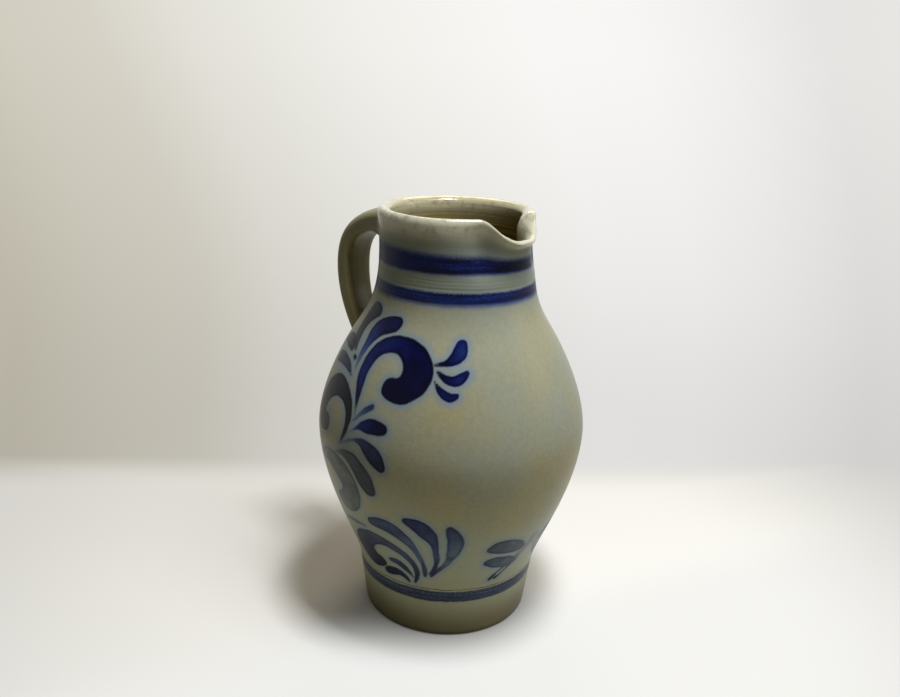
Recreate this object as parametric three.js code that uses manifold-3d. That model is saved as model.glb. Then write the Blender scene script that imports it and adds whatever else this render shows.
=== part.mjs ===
// A two-litre salt-glazed stoneware serving jug: one thrown pot with a pulled spout,
// and a strap handle that is luted to it with clay slip at both ends.
// Millimetres, +Z up. The jug stands on z = 0 with its axis on Z.
// The spout points to +X and the handle to -X, so the XZ plane is its mirror plane.
import * as THREE from "three";
import { mergeVertices } from "three/addons/utils/BufferGeometryUtils.js";
import Module from "manifold-3d";

// Foot: a short cone that widens upwards and ends where the belly begins.
const FOOT_RADIUS = 47.6;
const FOOT_TOP_RADIUS = 51.6;
const FOOT_HEIGHT = 31;
const FOOT_BEVEL = 1.6;

// Belly and shoulder: each rise starts where the one before it ends.
const BELLY_RADIUS = 75.3;
const BELLY_RISE = 82; // from the foot to the widest point
const SHOULDER_RADIUS = 60;
const SHOULDER_RISE = 47; // from the widest point to where the shoulder turns hollow
const SHOULDER_SLOPE = 0.55; // radius lost there per millimetre of height

// Neck and rim: a straight collar with a thick rolled rim.
const NECK_RADIUS = 42.3;
const NECK_RISE = 52; // from the hollow shoulder to the narrowest point
const COLLAR_HEIGHT = 23; // from the narrowest point to the top of the rim
const RIM_RADIUS = 43.4;
const RIM_THICKNESS = 7.2;

// Fullness of the outside: how far each curve follows its end slope, as a share of its own rise.
const BELLY_FULLNESS = { low: 0.17, high: 0.4 };
const SHOULDER_FULLNESS = { low: 0.365, high: 0.19 };
const NECK_FULLNESS = { low: 0.32, high: 0.575 };
const COLLAR_FULLNESS = { low: 0.6, high: 0.3 };

// Walls.
const WALL = 5.6;
const BASE_THICKNESS = 9;
const FLOOR_FILLET = 12; // round between the floor and the inside wall

// Turned lines, cut with a point while the pot spins.
const NECK_LINE_DROP = 12.4; // below the narrowest point of the neck
const FOOT_LINE_RISE = 1.4; // above the foot
const LINE_WIDTH = 1.6;
const LINE_DEPTH = 0.6;

// Spout: the rim pulled out and down between two supporting fingers.
const SPOUT_HALF_ANGLE = THREE.MathUtils.degToRad(35);
const SPOUT_LENGTH = 36; // from the rim down to where the pull begins
const SPOUT_REACH = 5.4;
const SPOUT_DROP = 12.6;
const SPOUT_THINNING = 0.42; // share of the rim's thickness lost in the lip
const FINGER_PRESS = 3.4; // how far the fingers push the wall in beside the lip
const FINGER_HALF_ANGLE = THREE.MathUtils.degToRad(13);

// Handle: a pulled strap, wide across the grip and flat on the fingers' side.
const HANDLE_WIDTH = 21;
const HANDLE_THICKNESS = 12;
const HANDLE_ROOT_SPREAD = 6; // extra width where it is pressed on to the neck
const HANDLE_ROOT_SHARE = 0.3; // share of its length over which that width fades
const HANDLE_TAPER = 0.12; // share of its section lost towards the tail
const HANDLE_TAPER_START = 0.5; // share of its length at which it begins to taper
const FINGER_GAP = 34.4; // between the neck and the strap
const HANDLE_TOP_DROP = 10.2; // from the rim to the strap's middle at the neck
const HANDLE_BEND_DROP = 45; // from the rim to the strap's outermost point
const HANDLE_TAIL_DROP = 14; // from the hollow shoulder to where the tail lands
const HANDLE_FALL = 0.14; // downward slope where it leaves the neck
const TAIL_ANGLE = THREE.MathUtils.degToRad(52); // of the tail below the horizontal
const HANDLE_FULLNESS = { out: 0.74, bend: 0.62, down: 0.42, tail: 0.3 };
const GRIP_ROUNDNESS = { outer: 2.3, inner: 3.4 }; // 2 is an oval, more is squarer

// Slip joints: a pad of clay slip between strap and pot, wiped into a fillet round the strap.
const SLIP_THICKNESS = 1.2;
const SLIP_FILLET = 3; // how far it spreads along the pot
const SLIP_CLIMB = 14; // how far it climbs along the strap
const SLIP_EDGE = 0.7; // its thickness where it ends on the strap
const SLIP_RIM_DROP = 2; // it is wiped off this far below the top of the rim
const JOINT_GAP = 0.3; // clearance between touching pieces

// Counts of facets and steps.
const TURNS = 64;
const BELLY_STEPS = 7;
const SHOULDER_STEPS = 4;
const NECK_STEPS = 6;
const COLLAR_STEPS = 3;
const RIM_STEPS = 8;
const FLOOR_STEPS = 4;
const HANDLE_STEPS = 30;
const SLIP_STEPS = 10;
const STRAP_SIDES = 20;
const PATH_SAMPLES = 200;
const MERGE_DISTANCE = 1e-4;

// Levels that the rises add up to.
const bellyLevel = FOOT_HEIGHT + BELLY_RISE;
const shoulderLevel = bellyLevel + SHOULDER_RISE;
const neckLevel = shoulderLevel + NECK_RISE;
const rimLevel = neckLevel + COLLAR_HEIGHT;

const wasm = await Module();
wasm.setup();

// A fired-clay material of the given colour.
const clay = (name, colour, roughness) =>
  new THREE.MeshStandardMaterial({ name, color: colour, roughness, metalness: 0 });
const glazedStoneware = clay("salt_glazed_stoneware", 0xa9a690, 0.38);
const glazedStrap = clay("salt_glazed_strap", 0x9a957c, 0.4);
const firedSlip = clay("fired_slip", 0x918c74, 0.45);

// One curve of the outside between two points, each with its slope, without its first point.
// A slope is the radius gained per millimetre of height.
function outsideCurve(start, startSlope, end, endSlope, fullness, steps) {
  const rise = end.y - start.y;
  const pull = (from, slope, climb) => new THREE.Vector2(from.x + slope * climb, from.y + climb);
  const curve = new THREE.CubicBezierCurve(
    start,
    pull(start, startSlope, fullness.low * rise),
    pull(end, endSlope, -fullness.high * rise),
    end);
  return curve.getPoints(steps).slice(1);
}

// Smooth outside of the pot, from the top of the foot to the underside of the rim.
function smoothOutside() {
  const foot = new THREE.Vector2(FOOT_TOP_RADIUS, FOOT_HEIGHT);
  const belly = new THREE.Vector2(BELLY_RADIUS, bellyLevel);
  const shoulder = new THREE.Vector2(SHOULDER_RADIUS, shoulderLevel);
  const neck = new THREE.Vector2(NECK_RADIUS, neckLevel);
  const rim = new THREE.Vector2(RIM_RADIUS, rimLevel - RIM_THICKNESS / 2);
  const footSlope = (FOOT_TOP_RADIUS - FOOT_RADIUS) / FOOT_HEIGHT;
  return [
    foot,
    ...outsideCurve(foot, footSlope, belly, 0, BELLY_FULLNESS, BELLY_STEPS),
    ...outsideCurve(belly, 0, shoulder, -SHOULDER_SLOPE, SHOULDER_FULLNESS, SHOULDER_STEPS),
    ...outsideCurve(shoulder, -SHOULDER_SLOPE, neck, 0, NECK_FULLNESS, NECK_STEPS),
    ...outsideCurve(neck, 0, rim, 0, COLLAR_FULLNESS, COLLAR_STEPS),
  ];
}

// Radius at a height on a profile that climbs all the way.
function radiusOn(profile, height) {
  const next = profile.findIndex((point) => point.y > height);
  const above = profile.at(next);
  const below = profile[Math.max(next - 1, 0)];
  if (next <= 0) return above.x;
  return THREE.MathUtils.mapLinear(height, below.y, above.y, below.x, above.x);
}

// The profile moved along its own normals: outwards for a positive distance.
function offsetProfile(profile, distance) {
  return profile.map((point, i) => {
    const before = profile[Math.max(i - 1, 0)];
    const after = profile[Math.min(i + 1, profile.length - 1)];
    const along = after.clone().sub(before).normalize();
    return new THREE.Vector2(point.x + along.y * distance, point.y - along.x * distance);
  });
}

// Outside of the pot with a groove for each turned line.
function linedOutside(smooth) {
  const lines = [FOOT_HEIGHT + FOOT_LINE_RISE, neckLevel - NECK_LINE_DROP];
  const grooves = lines.flatMap((level) => [-1, 0, 1].map((side) => {
    const height = level + (side * LINE_WIDTH) / 2;
    const depth = side === 0 ? LINE_DEPTH : 0;
    return new THREE.Vector2(radiusOn(smooth, height) - depth, height);
  }));
  const clear = smooth.filter((point) => lines.every((level) => Math.abs(point.y - level) > LINE_WIDTH));
  return [...clear, ...grooves].sort((a, b) => a.y - b.y);
}

// Half circle over the top of the rim, from outside to inside.
function rimArc() {
  const round = RIM_THICKNESS / 2;
  const arc = new THREE.EllipseCurve(RIM_RADIUS - round, rimLevel - round, round, round, 0, Math.PI);
  return arc.getPoints(RIM_STEPS);
}

// Inside of the pot, from under the rim down to the axis. It has half as many points as the outside.
function insideProfile(smooth) {
  const wall = offsetProfile(smooth, -WALL);
  const filletTop = BASE_THICKNESS + FLOOR_FILLET;
  const inRange = (point) => point.y > filletTop && point.y < rimLevel - RIM_THICKNESS;
  const side = wall.filter((point, i) => i % 2 === 0 && inRange(point)).reverse();
  const fillet = new THREE.EllipseCurve(
    radiusOn(wall, filletTop) - FLOOR_FILLET, filletTop, FLOOR_FILLET, FLOOR_FILLET, 0, -Math.PI / 2, true);
  return [...side, ...fillet.getPoints(FLOOR_STEPS), new THREE.Vector2(0, BASE_THICKNESS)];
}

// A closed solid turned about Z from a profile that starts and ends on the axis.
function turned(profile) {
  return new THREE.LatheGeometry(profile, TURNS).rotateX(Math.PI / 2);
}

// Shapes the spout by moving the points of the upper neck.
// Between the supporting fingers the wall goes out and down, most at the rim, and grows thinner.
// Under each finger it goes in a little.
function pullSpout(geometry) {
  const position = geometry.getAttribute("position");
  const wallMiddle = RIM_RADIUS - RIM_THICKNESS / 2;
  for (let i = 0; i < position.count; i += 1) {
    const [x, y, z] = [position.getX(i), position.getY(i), position.getZ(i)];
    const rise = THREE.MathUtils.smoothstep(z, rimLevel - SPOUT_LENGTH, rimLevel);
    const radius = Math.hypot(x, y);
    if (rise === 0 || radius === 0) continue;
    const angle = Math.abs(Math.atan2(y, x));
    const lip = 0.5 + 0.5 * Math.cos(Math.PI * Math.min(angle / SPOUT_HALF_ANGLE, 1));
    const finger = Math.exp(-(((angle - SPOUT_HALF_ANGLE) / FINGER_HALF_ANGLE) ** 2));
    const thinned = wallMiddle + (radius - wallMiddle) * (1 - SPOUT_THINNING * lip * rise);
    const moved = thinned + rise * (SPOUT_REACH * lip - FINGER_PRESS * finger);
    position.setXYZ(i, (x / radius) * moved, (y / radius) * moved, z - SPOUT_DROP * lip * rise);
  }
  return geometry;
}

// The strap's middle line: out of the neck, round the finger gap and down on to the shoulder.
// It starts and ends inside the wall, so that the cut ends follow the pot.
function handlePath(smooth) {
  const reach = NECK_RADIUS + FINGER_GAP + HANDLE_THICKNESS / 2;
  const topLevel = rimLevel - HANDLE_TOP_DROP;
  const tailLevel = shoulderLevel - HANDLE_TAIL_DROP;
  const top = new THREE.Vector3(WALL - radiusOn(smooth, topLevel), 0, topLevel + HANDLE_FALL * WALL);
  const bend = new THREE.Vector3(-reach, 0, rimLevel - HANDLE_BEND_DROP);
  const inward = new THREE.Vector3(Math.cos(TAIL_ANGLE), 0, -Math.sin(TAIL_ANGLE));
  const tail = new THREE.Vector3(-radiusOn(smooth, tailLevel), 0, tailLevel).addScaledVector(inward, WALL);
  const outPull = HANDLE_FULLNESS.out * (reach + top.x);
  const bendPull = HANDLE_FULLNESS.bend * (top.z - bend.z);
  const downPull = HANDLE_FULLNESS.down * (bend.z - tail.z);
  const tailPull = HANDLE_FULLNESS.tail * (bend.z - tail.z);
  const path = new THREE.CurvePath();
  path.add(new THREE.CubicBezierCurve3(
    top,
    new THREE.Vector3(top.x - outPull, 0, top.z - HANDLE_FALL * outPull),
    new THREE.Vector3(bend.x, 0, bend.z + bendPull),
    bend));
  path.add(new THREE.CubicBezierCurve3(
    bend,
    new THREE.Vector3(bend.x, 0, bend.z - downPull),
    tail.clone().addScaledVector(inward, -tailPull),
    tail));
  return path;
}

// One ring of the strap at a share of its length, grown on all sides by a distance.
// The section is a rounded oval whose inner half is flatter than its outer half.
function strapRing(path, share, grow) {
  const centre = path.getPointAt(share);
  const along = path.getTangentAt(share);
  const outward = new THREE.Vector3(along.z, 0, -along.x); // away from the finger gap
  const spread = HANDLE_ROOT_SPREAD * (1 - THREE.MathUtils.smoothstep(share, 0, HANDLE_ROOT_SHARE));
  const kept = 1 - HANDLE_TAPER * THREE.MathUtils.smoothstep(share, HANDLE_TAPER_START, 1);
  const halfWidth = (kept * (HANDLE_WIDTH + spread)) / 2 + grow;
  const halfThick = (kept * HANDLE_THICKNESS) / 2 + grow;
  return Array.from({ length: STRAP_SIDES }, (_, k) => {
    const turn = (2 * Math.PI * k) / STRAP_SIDES;
    const across = -Math.cos(turn);
    const through = Math.sin(turn);
    const power = 2 / (through > 0 ? GRIP_ROUNDNESS.outer : GRIP_ROUNDNESS.inner);
    const y = halfWidth * Math.sign(across) * Math.abs(across) ** power;
    const n = halfThick * Math.sign(through) * Math.abs(through) ** power;
    return new THREE.Vector3(0, y, 0).add(centre).addScaledVector(outward, n);
  });
}

// A closed solid through rings of points, with flat ends.
function loft(rings) {
  const sides = rings[0].length;
  const last = (rings.length - 1) * sides;
  const faces = [];
  for (let start = 0; start < last; start += sides) {
    for (let k = 0; k < sides; k += 1) {
      const a = start + k;
      const b = start + ((k + 1) % sides);
      faces.push(a, b, a + sides, b, b + sides, a + sides);
    }
  }
  for (let k = 1; k + 1 < sides; k += 1) {
    faces.push(0, k + 1, k, last, last + k, last + k + 1);
  }
  const geometry = new THREE.BufferGeometry().setFromPoints(rings.flat());
  geometry.setIndex(faces);
  return geometry;
}

// The strap from one share of its length to another, grown by a distance that may vary with the share.
function strap(path, from, to, steps, growAt) {
  const shares = Array.from({ length: steps + 1 }, (_, i) => THREE.MathUtils.lerp(from, to, i / steps));
  return solid(loft(shares.map((share) => strapRing(path, share, growAt(share)))));
}

// A geometry as a solid for cutting.
function solid(geometry) {
  const bare = geometry.clone();
  bare.deleteAttribute("normal");
  bare.deleteAttribute("uv");
  const merged = mergeVertices(bare, MERGE_DISTANCE);
  return new wasm.Manifold(new wasm.Mesh({
    numProp: 3,
    vertProperties: new Float32Array(merged.getAttribute("position").array),
    triVerts: new Uint32Array(merged.index.array),
  }));
}

// A cut solid as a three.js geometry.
function geometryOf(made) {
  const mesh = made.getMesh();
  const geometry = new THREE.BufferGeometry();
  geometry.setAttribute("position", new THREE.BufferAttribute(new Float32Array(mesh.vertProperties), 3));
  geometry.setIndex(new THREE.BufferAttribute(new Uint32Array(mesh.triVerts), 1));
  geometry.computeVertexNormals();
  return geometry;
}

// The pot above its foot as a filled solid, larger than its outside by a distance.
function filledPot(smooth, distance) {
  const grown = offsetProfile(smooth, distance);
  const top = rimLevel + distance;
  return solid(turned([
    new THREE.Vector2(0, grown[0].y),
    ...grown,
    new THREE.Vector2(grown.at(-1).x, top),
    new THREE.Vector2(0, top),
  ]));
}

// Everything near the jug that lies below a level.
function spaceBelow(level) {
  const side = 2 * (rimLevel + BELLY_RADIUS + FINGER_GAP);
  return solid(new THREE.BoxGeometry(side, side, side).translate(0, 0, level - side / 2));
}

// Share of the strap's length at which its middle line leaves the pot, from the neck or from the shoulder.
function leavingShare(path, smooth, fromNeck) {
  const shares = Array.from({ length: PATH_SAMPLES + 1 }, (_, i) => i / PATH_SAMPLES);
  return (fromNeck ? shares : shares.reverse()).find((share) => {
    const point = path.getPointAt(share);
    return -point.x > radiusOn(smooth, point.z);
  });
}

// The slip at one end of the strap: a pad under the strap's end and a fillet round it.
function slipJoint(path, smooth, fromNeck) {
  const end = fromNeck ? 0 : 1;
  const wall = leavingShare(path, smooth, fromNeck);
  const climb = SLIP_CLIMB / path.getLength();
  const tip = fromNeck ? wall + climb : wall - climb;
  const fillet = (share) => {
    const left = THREE.MathUtils.clamp((tip - share) / (tip - wall), 0, 1);
    return JOINT_GAP + SLIP_EDGE + SLIP_FILLET * left ** 2;
  };
  const wiped = strap(path, Math.min(end, tip), Math.max(end, tip), SLIP_STEPS, fillet);
  const strapRoom = strap(path, 0, 1, HANDLE_STEPS, () => JOINT_GAP)
    .subtract(filledPot(smooth, JOINT_GAP + SLIP_THICKNESS));
  const kept = wiped.intersect(spaceBelow(rimLevel - SLIP_RIM_DROP));
  return geometryOf(kept.subtract(strapRoom).subtract(filledPot(smooth, JOINT_GAP)));
}

// The cut strap, whose ends stop short of the pot by the slip and its clearances.
function strapHandle(path, smooth) {
  const cut = filledPot(smooth, SLIP_THICKNESS + 2 * JOINT_GAP);
  return geometryOf(strap(path, 0, 1, HANDLE_STEPS, () => 0).subtract(cut));
}

// The thrown pot with its spout.
function thrownBody(smooth) {
  const footEdge = [
    new THREE.Vector2(0, 0),
    new THREE.Vector2(FOOT_RADIUS - FOOT_BEVEL, 0),
    new THREE.Vector2(FOOT_RADIUS, FOOT_BEVEL),
  ];
  const outside = linedOutside(smooth).slice(0, -1);
  return pullSpout(turned([...footEdge, ...outside, ...rimArc(), ...insideProfile(smooth)]));
}

// Assembly.
const jug = new THREE.Group();
const outside = smoothOutside();
const middleLine = handlePath(outside);

function add(name, geometry, material) {
  const mesh = new THREE.Mesh(geometry, material);
  mesh.name = name;
  jug.add(mesh);
}
add("thrown_body", thrownBody(outside), glazedStoneware);
add("strap_handle", strapHandle(middleLine, outside), glazedStrap);
add("upper_slip_joint", slipJoint(middleLine, outside, true), firedSlip);
add("lower_slip_joint", slipJoint(middleLine, outside, false), firedSlip);

export default jug;
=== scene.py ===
"""A salt-glazed stoneware jug with cobalt brushwork, dressed over its construction model.

Sizes are in millimetres, in the jug's own frame: +Z climbs its axis from the table and +X points to the
pouring lip, so the handle lies on -X. Meshes are written in metres. Angles round the pot count from the lip.
"""

import logging
import math
from dataclasses import dataclass, replace
from enum import Enum
from functools import cached_property

import bpy
import numpy as np
from mathutils import Matrix, Vector


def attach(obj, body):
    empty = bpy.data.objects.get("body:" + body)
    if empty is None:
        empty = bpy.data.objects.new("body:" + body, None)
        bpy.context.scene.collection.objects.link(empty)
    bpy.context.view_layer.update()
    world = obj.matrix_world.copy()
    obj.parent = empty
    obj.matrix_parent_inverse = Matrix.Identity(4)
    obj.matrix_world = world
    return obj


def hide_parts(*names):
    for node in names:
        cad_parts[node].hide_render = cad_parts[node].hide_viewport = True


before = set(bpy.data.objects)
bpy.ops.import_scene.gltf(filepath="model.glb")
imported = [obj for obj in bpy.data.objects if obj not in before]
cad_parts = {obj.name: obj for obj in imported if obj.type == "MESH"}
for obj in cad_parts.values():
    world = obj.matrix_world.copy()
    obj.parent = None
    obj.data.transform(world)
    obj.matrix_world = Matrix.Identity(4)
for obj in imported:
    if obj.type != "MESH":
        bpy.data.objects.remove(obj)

Array = np.ndarray
Socket = bpy.types.NodeSocket
Tree = bpy.types.NodeTree
Inputs = dict[int | str, object] | tuple[object, ...]
Span = tuple[float, float]
Stops = tuple[tuple[float, str], ...]

MM = 0.001  # one millimetre in metres
OUTLINE_SAMPLES = 240  # points on each curve of an outline or of the strap's middle line
BODY = "root"  # the one body of a part that has no joints

log = logging.getLogger("jug")


# Small tools for arrays, meshes and nodes

def smoothstep(value: Array, low: float, high: float) -> Array:
    """Smooth step 3t² - 2t³, where t is the share of the way from low to high, held at both ends.

    Args:
        value: numbers to place on the step.
        low: where the step starts, at 0.
        high: where the step ends, at 1.

    Returns:
        The height of the step at each value.
    """
    share = np.clip((value - low) / (high - low), 0.0, 1.0)
    return share * share * (3.0 - 2.0 * share)


def bezier(points: list[tuple[float, float]], share: Array) -> Array:
    """Cubic curve (1-t)³a + 3(1-t)²t·b + 3(1-t)t²·c + t³d.

    Args:
        points: the start, its pull, the end's pull and the end.
        share: values of t from 0 to 1.

    Returns:
        One point for each t.
    """
    a, b, c, d = (np.array(point) for point in points)
    t = share[:, None]
    s = 1.0 - t
    return s ** 3 * a + 3 * s * s * t * b + 3 * s * t * t * c + t ** 3 * d


def through_points(points: Array, weight: Array, count: int) -> Array:
    """Smooth curve through every point: a natural cubic spline over the length of the line that joins them.

    Its bends m solve h₀·m₀ + 2(h₀ + h₁)·m₁ + h₁·m₂ = 6(rise₁ - rise₀) at each inner point and are 0 at both
    ends.

    Args:
        points: knots, one row each.
        weight: how much each column counts in the length between two knots.
        count: how many points to return, spread evenly over that length.

    Returns:
        The points on the curve.
    """
    step = np.linalg.norm(np.diff(points * weight, axis=0), axis=1)
    rise = np.diff(points, axis=0) / step[:, None]
    inner = np.arange(1, len(points) - 1)
    system = np.eye(len(points))
    system[inner, inner - 1] = step[:-1]
    system[inner, inner] = 2 * (step[:-1] + step[1:])
    system[inner, inner + 1] = step[1:]
    jumps = np.zeros_like(points)
    jumps[inner] = 6 * np.diff(rise, axis=0)
    bend = np.linalg.solve(system, jumps)
    spots = np.concatenate([[0.0], np.cumsum(step)])
    place = np.linspace(0.0, spots[-1], count)
    knot = np.clip(np.searchsorted(spots, place, "right") - 1, 0, len(step) - 1)
    h = step[knot][:, None]
    t = (place - spots[knot])[:, None]
    slope = rise[knot] - h * (2 * bend[knot] + bend[knot + 1]) / 6
    twist = (bend[knot + 1] - bend[knot]) / (6 * h)
    return points[knot] + slope * t + bend[knot] * t ** 2 / 2 + twist * t ** 3


def soften(values: Array, width: int) -> Array:
    """Round the corners of a sampled curve by two passes of a running mean, with both ends held.

    Args:
        values: samples, one row each.
        width: half of the mean's width, in samples.

    Returns:
        The rounded samples.
    """
    steps = np.arange(1, width + 1)
    window = 2 * width + 1
    for _ in range(2):
        before = 2 * values[0] - values[steps[::-1]]
        after = 2 * values[-1] - values[-1 - steps]
        total = np.cumsum(np.vstack([np.zeros_like(values[:1]), before, values, after]), axis=0)
        values = (total[window:] - total[:-window]) / window
    return values


def linear(hex_colour: str) -> tuple[float, float, float, float]:
    """Turn an sRGB colour such as '#a3a18a' into linear red, green, blue and full alpha.

    Args:
        hex_colour: the colour as six hex digits after a hash.

    Returns:
        Four numbers for a colour socket.
    """
    codes = np.array([int(hex_colour[i:i + 2], 16) for i in (1, 3, 5)]) / 255
    light = np.where(codes <= 0.04045, codes / 12.92, ((codes + 0.055) / 1.055) ** 2.4)
    return (*light.tolist(), 1.0)


def add_node(tree: Tree, kind: str, inputs: Inputs = (), out: int | str = 0, stops: Stops = (),
             **settings: object) -> Socket:
    """Add a node with its settings, values and links.

    Args:
        tree: the node tree to add to.
        kind: the node's type, without the words ShaderNode.
        inputs: sockets to link from and values to set, by the input's name or number, or in order.
        out: the output to return, by name or number.
        stops: places and colours of a colour ramp, in rising order.
        settings: properties of the node itself.

    Returns:
        The chosen output socket, or the first input of a node that has no outputs.
    """
    node = tree.nodes.new("ShaderNode" + kind)
    for name, value in settings.items():
        setattr(node, name, value)
    for name, value in inputs.items() if isinstance(inputs, dict) else enumerate(inputs):
        if isinstance(value, Socket):
            tree.links.new(value, node.inputs[name])
        else:
            node.inputs[name].default_value = value
    for _ in stops[2:]:
        node.color_ramp.elements.new(0.5)
    for number, (spot, hex_colour) in enumerate(stops):
        node.color_ramp.elements[number].position = spot
        node.color_ramp.elements[number].color = linear(hex_colour)
    return node.outputs[out] if len(node.outputs) else node.inputs[0]


def ring_faces(rows: int, columns: int) -> tuple[Array, Array]:
    """Number the points of a stack of closed rings and span a face between each four neighbours.

    Args:
        rows: how many rings.
        columns: points in each ring.

    Returns:
        The points' numbers as rows by columns, and four corners for each face.
    """
    here = np.arange(rows * columns).reshape(rows, columns)
    beside = np.roll(here, -1, axis=1)
    return here, np.stack([here[:-1], beside[:-1], beside[1:], here[1:]], axis=-1).reshape(-1, 4)


def add_mesh(name: str, points: Array, faces: list[list[int]]) -> bpy.types.Object:
    """Make a smooth mesh and link it to the scene at the origin.

    Args:
        name: name of the object and its mesh.
        points: points in millimetres.
        faces: numbers of the points round each face.

    Returns:
        The object.
    """
    mesh = bpy.data.meshes.new(name)
    mesh.from_pydata((points * MM).tolist(), [], faces, shade_flat=False)
    mesh.validate()
    made = bpy.data.objects.new(name, mesh)
    bpy.context.scene.collection.objects.link(made)
    return made


def tube_mesh(name: str, rings: Array) -> bpy.types.Object:
    """Close a grid of rings into one smooth mesh, with a fan of triangles at each end.

    The fans meet at the middle of the first and last ring. If the volume, a sum of a·(b × c) over all
    triangles, comes out negative, the faces point inwards and every one of them is turned round.

    Args:
        name: name of the object and its mesh.
        rings: points in millimetres, as rows by columns by three.

    Returns:
        The object, linked to the scene, at the origin.
    """
    rows, columns, _ = rings.shape
    points = np.vstack([rings.reshape(-1, 3), rings[0].mean(0), rings[-1].mean(0)])
    here, quads = ring_faces(rows, columns)
    pole = np.full(columns, rows * columns)
    fans = np.vstack([
        np.stack([pole, np.roll(here[0], -1), here[0]], axis=-1),
        np.stack([pole + 1, here[-1], np.roll(here[-1], -1)], axis=-1),
    ])
    a, b, c = np.moveaxis(points[np.vstack([quads[:, :3], quads[:, [0, 2, 3]], fans])], 1, 0)
    turn = slice(None, None, -1 if (a * np.cross(b, c)).sum() < 0 else 1)
    return add_mesh(name, points, quads[:, turn].tolist() + fans[:, turn].tolist())


def add_attribute(made: bpy.types.Object, name: str, values: Array) -> None:
    """Store a number or a vector for each vertex of a tube mesh, whose two end points get the ends' values.

    Args:
        made: an object from tube_mesh.
        name: name that a material reads.
        values: rows by columns, or rows by columns by three.
    """
    width = values.shape[2] if values.ndim == 3 else 1
    flat = values.reshape(-1, width)
    full = np.vstack([flat, flat[:1], flat[-1:]]).astype(np.float32)
    kind, field_name = ("FLOAT_VECTOR", "vector") if width == 3 else ("FLOAT", "value")
    made.data.attributes.new(name, kind, "POINT").data.foreach_set(field_name, full.ravel())


# The pot's wall

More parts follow.
